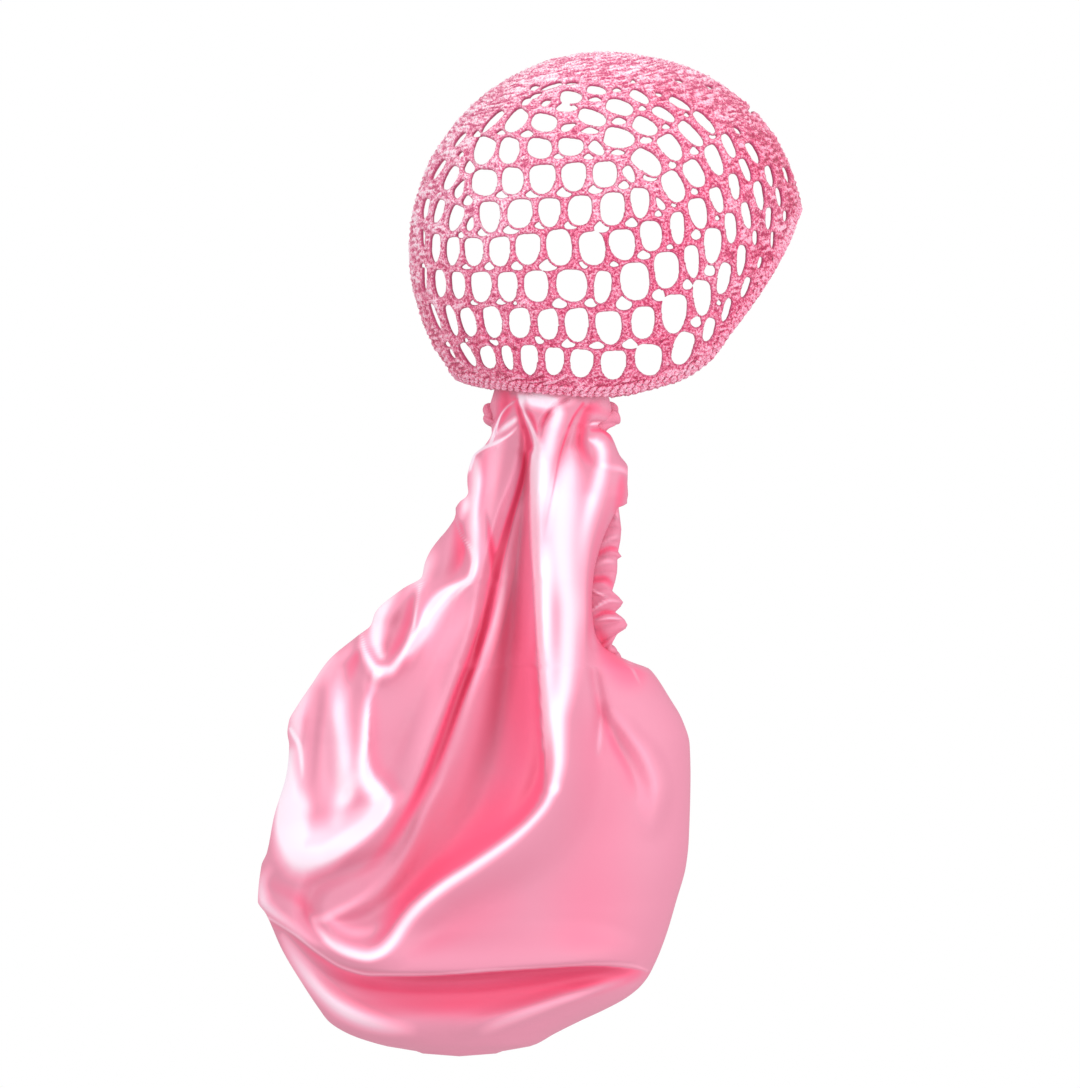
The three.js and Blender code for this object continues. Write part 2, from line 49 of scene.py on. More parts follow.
# The rim's lower edge: degrees round from the forehead, and degrees from the crown.
RIM_EDGE = [
    (0, 92.5), (12, 94.5), (25, 101.5), (40, 113), (52, 123.5), (62, 133), (75, 137),
    (93, 137.5), (108, 135.5), (123, 131), (134, 127.4), (158, 121), (180, 117),
]

# The crochet fabric is worked out on a flat chart of the head's near side: its millimetres a radian,
# its grid's step on the near side and on the far one, how far above the rim's edge the fabric ends,
# where in x the near side is cut in three, and how far from an edge depths are still told apart.
CHART = 103
NEAR_STEP, FAR_STEP = 0.62, 1.1
RIM_TUCK = 3.5
NET_SPLITS = (-36, 20)
FIELD_REACH = 5.0
WELDED = 1e-6
# The yarn's half thickness and the depth from which it is whole, how far its middle lies inside the
# head form, and how far it stands out over the brow, round which angle and how wide in degrees.
YARN_HALF = 1.3
YARN_ROUND = 1.7
YARN_SINK = 0.7
BROW_PROUD, BROW_ANGLE, BROW_SPREAD = 2.6, 40, 42
# An opening's outline: its points, how square it is high and low, where 2 is round, how many pixels
# it grows, how uneven it is, and how rough the yarn makes it. A small gap also tapers.
HOLE_POINTS = 40
HOLE_ROUND_HIGH, HOLE_ROUND_LOW = 3.4, 2.1
HOLE_GROWTH = 1.3
HOLE_UNEVEN = (0.035, 0.025)
GAP_ROUND = 1.8
GAP_GROWTH = 1.2
GAP_TAPER = 0.4
EDGE_ROUGH, EDGE_ROUGH_SIZE = 0.2, 1.5
# The dense fabric: its rows and stitches, how far the rows wander, the depths between which all this
# fades in, the size of its streaks across and along the rows, and how far each kind stands out.
ROW_PITCH, STITCH_PITCH = 3.3, 3.8
ROW_WANDER, ROW_WANDER_SIZE = 1.5, 9
ROWS_FROM, ROWS_WHOLE = 1.4, 3.0
STREAK_SIZE = (1.7, 4.5)
ROW_RELIEF, STITCH_RELIEF, STREAK_RELIEF = 0.3, 0.2, 0.4
# How much lighter the rows' ridges and darker their hollows are painted: painted highlight and shade.
ROW_HIGHLIGHT = 0.25
DEEPEST = 2
# The yarn's lumps, each kind with its height, its size and its seed, and those of dense parts alone.
LUMPS = [(0.4, 11, 2), (0.3, 2.2, 3), (0.16, 1.1, 4)]
DENSE_LUMPS = (0.45, 5, 7)
LATTICE = 24
# The thin thread under each opening that is wide enough: its half thickness, how far it lies outside
# the opening and out of the fabric, its points and sides, and the depth that sets its painted edge shade.
THREAD_FROM_WIDTH = 8
THREAD_HALF = 0.62
THREAD_GROWTH = 2.3
THREAD_OUT = 0.3
THREAD_POINTS, THREAD_SIDES = 42, 5
THREAD_DEPTH = 0.3
# The rim band: how high its rows lie above the rim's edge, how far each is turned past the one
# below, the points round it, and its plies' half sizes, sides, winding, painted highlight where each
# ply comes outward, and stitches.
RIM_ROWS = [1.3, 3.7, 6.1]
RIM_ROW_TURN = 1.9
RIM_POINTS = 640
PLY_HALF = (1.15, 1.0)
PLY_SIDES = 7
PLY_WIND = (0.75, 0.9)
PLY_HIGHLIGHT = 0.75
FUZZ = 0.16
STITCH = 4.3

# The net's openings as the camera sees them, in the photograph's pixels: middle x and y, width,
# height, and how many degrees the height leans, bottom to the right.
NET_HOLES = [
    (452, 355, 4, 9, 30), (468.5, 356, 9, 25, 31), (488, 359, 13.5, 23, 17), (507.5, 359.5, 9.5, 24, 12),
    (529, 361.5, 16.5, 28, 2), (554, 363, 17, 27.5, 0), (581, 365, 21, 28, -5), (613, 366.5, 24, 28, 0),
    (648, 361.5, 26, 30, -8), (682, 350.5, 19, 32, -19), (708, 331.5, 9.5, 24, -16),
    (726, 311.5, 6, 22, -14), (745, 288.5, 5.5, 20, -20), (759.5, 264, 3, 10, -12), (772, 241, 3, 15, 0),
    (784, 217, 4, 9, 0),
    (435.5, 317.5, 4.5, 27, 20), (452, 322, 9, 30, 17), (468.5, 324, 13.5, 29, 18),
    (492.5, 324, 17.5, 30, 11), (519.5, 325, 19.5, 30, 3), (548, 326.5, 19.5, 29.5, 7),
    (576.5, 327, 23, 31.5, 3), (608.5, 329.5, 24, 33, 4), (642.5, 325, 22, 31, -2),
    (673.5, 315.5, 23, 39, -3), (701.5, 299.5, 16.5, 35, 0), (723, 280.5, 11.5, 32, -11),
    (740.5, 262, 8.5, 29, -6), (754.5, 239, 4, 13, 0), (767.5, 219.5, 6, 20, 0), (777, 198.5, 5, 17, 12),
    (425, 280, 3.5, 24, 2), (440, 285, 10.5, 27, 7), (458, 287, 13, 26, 4), (481, 288.5, 20.5, 28.5, 6),
    (507.5, 288.5, 19, 28, 3), (536, 288.5, 22.5, 31, 2), (571.5, 288, 30, 30.5, 0),
    (602, 289.5, 16.5, 31, -4), (634.5, 284, 27, 38, 2), (666, 272.5, 24, 35, 4),
    (691.5, 263.5, 13.5, 31, 3), (712, 247.5, 16.5, 34, -1), (730, 230, 10.5, 30, 6),
    (745.5, 217.5, 8, 26, 10), (757.5, 197.5, 8.5, 28, 12), (767, 178, 6.5, 20, 15),
    (783.5, 176.5, 5, 15, 16),
    (423.5, 239, 3, 16, 2), (435.5, 249, 9, 27, -3), (452.5, 252.5, 12.5, 28, 0),
    (473.5, 253.5, 18.5, 26.5, 3), (499.5, 253.5, 20.5, 28, 3), (527.5, 251, 23, 31, 1),
    (559, 250, 25, 34, 7), (592, 251, 24, 34, 7), (622, 247, 24.5, 30, 4), (650.5, 238.5, 21, 28.5, 4),
    (677, 230.5, 12.5, 32, 4), (697.5, 215.5, 16.5, 30, 9), (716, 202, 11.5, 24, 15),
    (733, 189, 9.5, 24, 10), (743.5, 172, 6.5, 23, 22), (750, 155.5, 7, 22, 30),
    (425.5, 209, 6, 19, -12), (438.5, 212.5, 8.5, 24, -16), (455.5, 219.5, 13, 25, -20),
    (489.5, 218.5, 19.5, 30, 2), (519.5, 216, 24, 28, 0), (549, 214.5, 21.5, 27, 0),
    (579.5, 213, 22.5, 29.5, 0), (612, 211.5, 23, 33, 0), (639.5, 205, 17, 30, 0),
    (673, 189.5, 19, 31, 27), (693.5, 176.5, 16.5, 29, 27), (713, 163, 13.5, 30, 22),
    (727, 149, 9, 24, 25),
    (438.5, 170.5, 5, 23, -33), (450.5, 179.5, 10, 26, -27), (484, 184.5, 24, 26.5, -6),
    (512, 183, 21.5, 25.5, -2), (542, 181, 25.5, 28, 2), (573.5, 179, 24, 27.5, 2),
    (604.5, 177, 22.5, 26.5, 3), (629, 176.5, 9, 17, 28), (647, 165, 19, 32, 52), (670, 150, 17, 29, 33),
    (690, 137, 12, 30, 42), (703.5, 125.5, 9, 27, 42),
    (459.5, 140.5, 4.5, 16, -42), (483.5, 152, 20, 27, -22), (508.5, 152.5, 19.5, 25.5, -12),
    (539, 150.5, 23.5, 20, -8), (570, 149, 23.5, 18, -5), (596.5, 150.5, 10, 17, 45),
    (619, 140, 19, 30, 75), (645, 128.5, 15, 26, 58), (663.5, 116.5, 9.5, 24, 55), (679, 106, 7, 22, 57),
    (492.5, 122.5, 7, 27, -45), (515.5, 122.5, 16, 26, -38), (543.5, 124.5, 25, 17.5, -15),
    (592.5, 119.5, 15, 27, 68), (620, 109, 15, 26, 70), (639.5, 98.5, 9, 21, 58),
    (571, 98.5, 12, 21.5, 80), (596.5, 91.5, 8.5, 18, 78), (551, 87.5, 4, 20, -73),
]
# The small gaps where the stitches part under each tall one, in the same terms.
NET_GAPS = [
    (447.5, 345, 5, 5, 0), (493.5, 343.5, 5, 9, 70), (538.5, 341.5, 6, 9, 60), (568, 345, 12, 8, 0),
    (596.5, 347, 14, 6, 0), (629.5, 345.5, 14, 9, 0), (696, 323, 9, 11, -20), (718.5, 304, 3.5, 4.5, 0),
    (709.5, 271, 9, 13, -10), (466, 341, 3, 3, 0),
    (474, 303.5, 7, 5, 0), (501, 303, 9, 5.5, 0), (515, 304.5, 3, 3, 0), (559, 305, 13, 9, 0),
    (590.5, 304.5, 11, 8, 0), (623.5, 304.5, 15, 13, 0), (658.5, 296.5, 11, 12, -20), (687, 286, 8, 10, 0),
    (422.5, 266, 4, 3, 0), (466, 268, 8, 4, 0), (489, 267.5, 9, 7, 0), (516.5, 267.5, 10, 8, 0),
    (547.5, 267, 16, 11, 0), (583, 266.5, 5, 9, 60), (613.5, 266, 8, 4, 0), (643.5, 256.5, 11, 9, 0),
    (669.5, 248.5, 6, 4, 0), (696, 235.5, 8, 11, -10), (716.5, 219.5, 3, 4, 0),
    (460.5, 236, 5, 5, 0), (482, 233.5, 9, 7, 0), (510.5, 231, 15, 8, 0), (540.5, 227, 11, 6, 0),
    (570.5, 226.5, 12, 8, 0), (601, 228.5, 13, 11, 0), (631, 224.5, 11, 8, 0), (657.5, 215.5, 6, 5, 0),
    (659.5, 205.5, 5.5, 13, 32), (693.5, 193, 6, 6, 0), (673, 206.5, 4, 4, 0), (470, 225, 6.5, 13, -14),
    (467.5, 201.5, 9, 9, 0), (459.5, 190, 8, 18, -25), (502, 196, 12, 6, 0), (532.5, 195.5, 13, 7, 0),
    (563.5, 194, 13, 9, 0), (595, 191, 13, 8, 0), (623.5, 187, 9.5, 7, 0), (650, 177.5, 12, 11, 0),
    (671.5, 166.5, 6.5, 7, 0), (734, 133, 3, 9, 40),
    (469, 168, 9, 12, 0), (461, 155, 5, 4, 0), (558, 158, 9, 4, 0), (588, 158.5, 8, 5, 0),
    (617.5, 154, 12, 5, 0), (645.5, 141.5, 11, 7, 0), (665.5, 128.5, 6.5, 4, 0), (693, 153, 7.5, 7, 0),
    (711, 138, 5.5, 6, 0),
    (476.5, 134.5, 6.5, 6, 0), (501, 133.5, 8, 4, 0), (526.5, 135, 12, 6, 0), (568, 128.5, 6, 15, -70),
    (589.5, 132, 15.5, 5.5, 0), (618.5, 122.5, 12, 7, 0), (642, 109.5, 6, 4.5, 0), (685.5, 117, 3.5, 4, 0),
    (566, 108, 18.5, 10, 0), (546, 104, 5, 9, -65), (527, 102, 5.5, 12, -60), (536, 96.5, 4, 12, -65),
    (594.5, 100.5, 11.5, 4.5, 0), (616.5, 91, 7.5, 4, 0), (535, 88.5, 4.5, 9, -75), (572, 84.5, 2, 12, -85),
    (633, 82.5, 3.5, 4, 0), (678, 83, 2.5, 7, 70), (707, 90, 3, 7, 65), (658, 96, 3, 6, 60),
    (747, 114, 3, 4, 0),
]

# The satin bag's left and right outlines as the camera sees them: z and x.
BAG_LEFT = [
    (-181, -62.5), (-198, -66), (-209, -64.5), (-216, -68), (-222.5, -75), (-236, -78.5),
    (-243, -79), (-250, -82.5), (-263, -89.5), (-276, -99), (-283, -102), (-290, -103.5),
    (-296.5, -114), (-310, -129.5), (-317, -132), (-323, -139.5), (-336.5, -155.5),
    (-350, -165), (-363.5, -174), (-370, -177.5), (-377, -178.5), (-384, -177.5), (-397, -178.5),
    (-424, -186), (-444, -190), (-451, -193), (-471, -195), (-478, -190.5), (-498, -181.5),
    (-518, -169.5), (-531.5, -160.5), (-538, -155.5), (-545, -144.5), (-551.5, -125), (-556, -103),
]
BAG_RIGHT = [
    (-181, -1), (-198, 2.5), (-203, 1), (-206.5, -2.5), (-211, 2), (-222, 7), (-229, 11.5),
    (-243, 11), (-249, 7.5), (-258, 2.5), (-268, -2), (-279, -5.5), (-289, -7.5), (-305, -8.5),
    (-320, -7), (-328, -3), (-334, 6), (-338, 15), (-341, 23), (-344, 26), (-357, 34.5), (-370, 42),
    (-383.5, 46), (-400, 46.5), (-437, 45.5), (-451, 44), (-471, 38.5), (-491, 32.5),
    (-511, 24), (-518, 19), (-525, 10.5), (-531.5, -1.5), (-538, -15.5), (-545, -29.5),
    (-551.5, -41.5), (-556, -62),
]
# How far the bag's front and back stand from its middle, and how far the back's middle sinks, by z.
BAG_MIDDLE = -48
BAG_DEPTHS = [
    (-181, 7, 7, 0), (-199, 9, 9, 0), (-217, 13, 10, 0), (-231, 16, 11, 0), (-247, 19, 12, 0),
    (-257, 21, 14, 0), (-272, 24, 17, 0), (-289, 28, 20, 0), (-305, 31, 24, 0), (-321, 34, 28, 7),
    (-333, 36, 33, 13), (-347, 38, 37, 8), (-365, 41, 40, 3), (-385, 43, 43, 0), (-407, 45, 44, 0),
    (-429, 46, 44, 0), (-451, 47, 43, 0), (-473, 47, 41, 0), (-493, 46, 38, 0), (-507, 44, 35, 0),
    (-519, 41, 31, 0), (-531, 35, 27, 0), (-542, 28, 21, 0), (-551, 18, 14, 0), (-556, 10, 8, 0),
]
BAG_ROUNDNESS = 0.9
# How far to the right the cloth is moved at the neck's right edge and at its left one, by z, and how
# wide each puff is in u.
RIGHT_PUFF = [(-238, 0), (-243, 0.6), (-246, 1.6), (-249, 3.6), (-249.8, 3.9), (-250.8, 0)]
LEFT_PUFF = [
    (-233, 0), (-239, 0.8), (-243, 1.9), (-245, 1.4), (-248, -1.0), (-251.5, -1.4), (-255, 0.5),
    (-258, 1.4), (-262, 0.8), (-268, 0),
]
PUFF_WIDTH = 0.16
# The bag's grid: its rows, chosen from so many times more, where they crowd for the fine lines at
# the neck and at the tuck, by level, reach and added share, and its columns.
BAG_ROWS = 345
ROW_SAMPLES = 8
ROW_CROWDS = [(-205, 30, 1.0), (-503, 24, 1.0)]
FRONT_COLUMNS = 230
BACK_COLUMNS = 54
# The neck lies so far inside the net's wall, down to its level, and keeps off the form's very edge.
# The bag comes forward to it between the two levels of GATHERED, and its back is open between the
# two of MOUTH. Its bottom closes a little lower than its last row.
NECK_CLEARANCE = 1.5
NECK_LEVEL = -185
NECK_END = 0.11
GATHERED = (-195, -257)
MOUTH = (-199, -333)
BOTTOM_DROP = 1.5
# How folds are drawn: the step along a path and its fewest points, how many times their relief is
# smoothed, and how far in from the front's edges they fade.
PATH_STEP, PATH_POINTS = 3, 12
FOLD_SMOOTHING = 4
FOLD_EDGE = 0.22

# The folds of the bag's front. Each runs down through places in the photograph's pixels, which are
# rounded to FOLD_STEP millimetres in the model. It stands out so many millimetres or, where negative,
# sinks in, and falls off so far to its right and to its left, seen going down it.
FOLD_STEP = 0.5
FOLDS = {
    "right_fold": [
        (527, 403.5, 4, 10, 3), (532, 425, 7, 14, 3), (540, 450, 9, 20, 3.5), (539, 475, 11, 24, 3.5),
        (538, 505, 12, 26, 3.5), (539, 547, 14, 26, 4), (542, 590, 15, 26, 4.5), (544, 631, 17, 26, 6),
        (547, 678.5, 18, 28, 9), (552, 726, 20, 30, 9), (555, 765, 21, 32, 10), (549, 793, 21, 34, 11),
        (538, 812, 20, 35, 12), (515, 835, 19, 34, 12), (472, 862, 16, 30, 12), (439, 882, 14, 26, 11),
        (419, 905, 12, 22, 10), (402, 928, 10, 20, 10), (386, 944, 8, 18, 10), (366, 951, 7, 16, 10),
        (343, 941, 5, 14, 10), (326, 925, 3, 12, 9), (316, 908, 0, 10, 8),
    ],
    "valley": [
        (525, 430, -3, 4, 5), (527, 470, -8, 6, 6), (523, 510, -12, 8, 9), (518, 560, -16, 10, 12),
        (513, 610, -19, 13, 15), (508, 660, -21, 17, 18), (502, 710, -23, 22, 22),
        (492, 755, -23, 26, 26), (475, 800, -21, 26, 30), (448, 838, -17, 22, 30),
        (415, 872, -12, 18, 26), (385, 900, -8, 14, 20), (355, 918, -4, 10, 14), (335, 915, 0, 8, 10),
    ],
    "groove": [
        (526.5, 455, -1, 3, 3), (522, 480, -3, 5, 5), (512, 512, -5, 6, 6), (500, 553, -6, 7, 8),
        (493, 577, -6, 7, 8), (482, 618, -5, 7, 7), (469.5, 661, -5, 7, 6), (453.5, 703.5, -4, 7, 5),
        (437.5, 744.5, -3, 7, 5), (423, 777, -2, 6, 4), (404, 805, 0, 6, 4),
    ],
    "left_panel_edge": [
        (517, 455, 2, 3, 6), (510, 480, 5, 4, 8), (500, 505, 8, 4, 10), (490, 540, 10, 4, 12),
        (482, 575, 11, 4.5, 13), (472, 626, 12, 5, 14), (450, 690, 12, 6, 17), (429, 745, 12, 8, 20),
        (411, 790, 11, 10, 22), (392, 818, 9, 12, 22), (364, 846, 5, 14, 20), (330, 862, 0, 14, 18),
    ],
    "left_crest": [
        (516, 421, 2, 4, 4), (498, 441, 3, 4, 4), (481, 455, 4, 6, 4), (478, 482, 5, 6, 5),
        (475, 513, 5, 6, 6), (476, 553, 6, 6, 7), (470, 577, 6, 6, 7), (452, 590, 5, 6, 7),
        (438, 605, 5, 7, 7), (425, 624, 5, 7, 7), (411, 645, 5, 8, 7), (398, 664, 6, 9, 7),
        (384, 675, 6, 9, 6), (373, 669, 5, 7, 6), (365, 650, 4, 6, 6), (363, 635, 2, 5, 5),
        (368, 620, 0, 4, 5),
    ],
    "pocket_one": [
        (457, 520, 0, 5, 5), (460.5, 534, -4, 4, 9), (464, 552, -5, 4, 12), (457, 571.5, -3, 5, 10),
        (442.5, 582, 0, 5, 6),
    ],
    "pocket_two_edge": [
        (423, 575, 1, 4, 3), (421, 595, 4, 6, 4), (418, 615, 6, 7, 4), (411, 638, 6, 7, 5),
        (400, 658, 4, 7, 5), (388, 670, 0, 6, 5),
    ],
    "pocket_two": [
        (412, 592, -1, 4, 6), (406, 610, -4, 6, 8), (398, 630, -5, 7, 9), (390, 650, -4, 7, 7),
        (384, 662, 0, 5, 5),
    ],
    "panel_drop_edge": [
        (364, 668, 1, 3, 6), (367, 690, 3, 4, 9), (369, 709, 4, 4, 12), (368, 735, 5, 4, 14),
        (363, 765, 6, 6, 16), (366, 787, 6, 8, 16), (379, 800, 4, 9, 14), (388, 806, 2, 9, 12),
    ],
    "belly": [
        (392, 800, 5, 10, 8), (388, 812, 9, 14, 12), (372, 828, 11, 18, 16), (345, 843, 12, 20, 18),
        (315, 851, 11, 20, 20), (285, 853, 7, 18, 20), (268, 850, 0, 14, 18),
    ],
    "belly_valley": [
        (396, 846, 0, 8, 8), (372, 856, -4, 9, 8), (340, 870, -6, 10, 9), (316, 886, -7, 10, 10),
        (309, 906, -6, 9, 10), (322, 930, -4, 6, 9), (345, 950, 0, 5, 8),
    ],
    "valley_streak": [
        (452, 750, 0, 5, 5), (444, 778, 2, 7, 5), (432, 800, 4, 8, 6), (412, 842, 5, 9, 6),
        (390, 878, 5, 9, 7), (366, 900, 4, 8, 7), (335, 912, 3, 7, 7), (318, 908, 0, 6, 6),
    ],
    "left_pleat": [
        (328, 680, 0, 6, 6), (333, 705, 3, 8, 8), (339, 735, 4, 9, 9), (342, 765, 4, 9, 9),
        (348, 792, 0, 8, 8),
    ],
    "left_dent": [
        (318, 680, 0, 6, 6), (313, 705, -4, 7, 7), (309, 740, -5, 7, 8), (305, 775, -3, 7, 8),
        (300, 800, 0, 6, 6),
    ],
    "tuck_lip": [
        (268, 908, 2, 12, 3), (278, 918, 6, 16, 3), (296, 930, 9, 20, 3.5), (326, 950, 12, 24, 4),
        (356, 963, 14, 26, 4), (399, 969, 15, 28, 4), (456, 968, 15, 30, 4), (505, 964, 14, 30, 4),
        (558, 961, 11, 28, 4), (600, 958, 8, 24, 4), (630, 960, 4, 18, 3.5), (650, 967, 0, 12, 3),
    ],
    "under_lip": [
        (285, 935, -2, 4, 8), (300, 952, -6, 6, 12), (330, 975, -9, 7, 16), (372, 988, -11, 8, 18),
        (420, 992, -12, 8, 18), (470, 991, -12, 8, 17), (520, 986, -10, 8, 16), (570, 978, -7, 7, 14),
        (615, 972, -3, 6, 10), (640, 972, 0, 5, 8),
    ],
    "low_left_roll": [
        (288, 940, 0, 6, 6), (303, 962, 3, 8, 7), (333, 998, 5, 10, 9), (373, 1020, 5, 12, 9),
        (405, 1030, 2, 12, 8), (430, 1034, 0, 10, 8),
    ],
    "low_right_roll": [
        (450, 1030, 0, 8, 8), (475, 1023, 3, 9, 9), (522, 1010, 5, 10, 10), (560, 997, 4, 10, 9),
        (600, 984, 2, 9, 8), (625, 978, 0, 8, 6),
    ],
    "right_crease": [
        (589, 610, 0, 5, 3), (590, 645, -3, 6, 3.5), (594, 674, -5, 7, 4), (600, 715, -5, 7, 5),
        (599, 742, -2, 6, 5), (597, 760, 0, 5, 5),
    ],
    "right_hollow": [
        (600, 700, 0, 6, 6), (607, 722, -4, 7, 7), (618, 740, -5, 8, 8), (630, 760, -4, 8, 8),
        (641, 785, -2, 8, 8), (645, 810, 0, 7, 7),
    ],
    "right_bulge": [
        (618, 712, 0, 8, 8), (630, 735, 4, 10, 10), (646, 758, 6, 12, 11), (656, 788, 6, 12, 12),
        (653, 815, 3, 12, 12), (645, 840, 0, 10, 10),
    ],
    "neck_dimple": [
        (524, 410, 0, 2.5, 2.5), (529, 419, -4, 3, 3), (535, 431, -2, 2.5, 2.5), (538, 440, 0, 2, 2),
    ],
    "neck_bend": [
        (568, 399, -2, 2.5, 3), (556, 406, -4, 2.5, 3.5), (547, 416, -4, 3, 3), (541, 427, -3, 3, 3),
        (538, 440, 0, 2.5, 2.5),
    ],
    "neck_crease": [
        (588, 403.5, -1, 3, 2.5), (576, 419, -2, 4, 2.5), (567, 436, -2.5, 4, 2.5),
        (560, 455, -2.5, 4, 3), (556, 470, -2, 4, 3), (550, 497, -2, 4, 3), (546, 523, -1.5, 4, 3),
        (543, 550, 0, 4, 3),
    ],
    "neck_hollow": [
        (586, 412, -2, 6, 4), (580, 427, -5, 7, 5), (578.5, 443, -6, 7, 6), (583, 458, -4, 7, 7),
        (592.5, 470, -1.5, 6, 7), (601.5, 478, 0, 6, 6),
    ],
    "neck_notch": [
        (619, 428, -3, 3, 3), (606, 427, -6, 3, 3.5), (594, 424, -4, 3, 3), (586, 424, 0, 3, 3),
    ],
    "left_neck_line": [
        (503, 412, 1, 3, 2.5), (496, 424, 3, 3, 3), (491, 437, 2, 3, 3), (480, 450, 0, 3, 3),
    ],
}
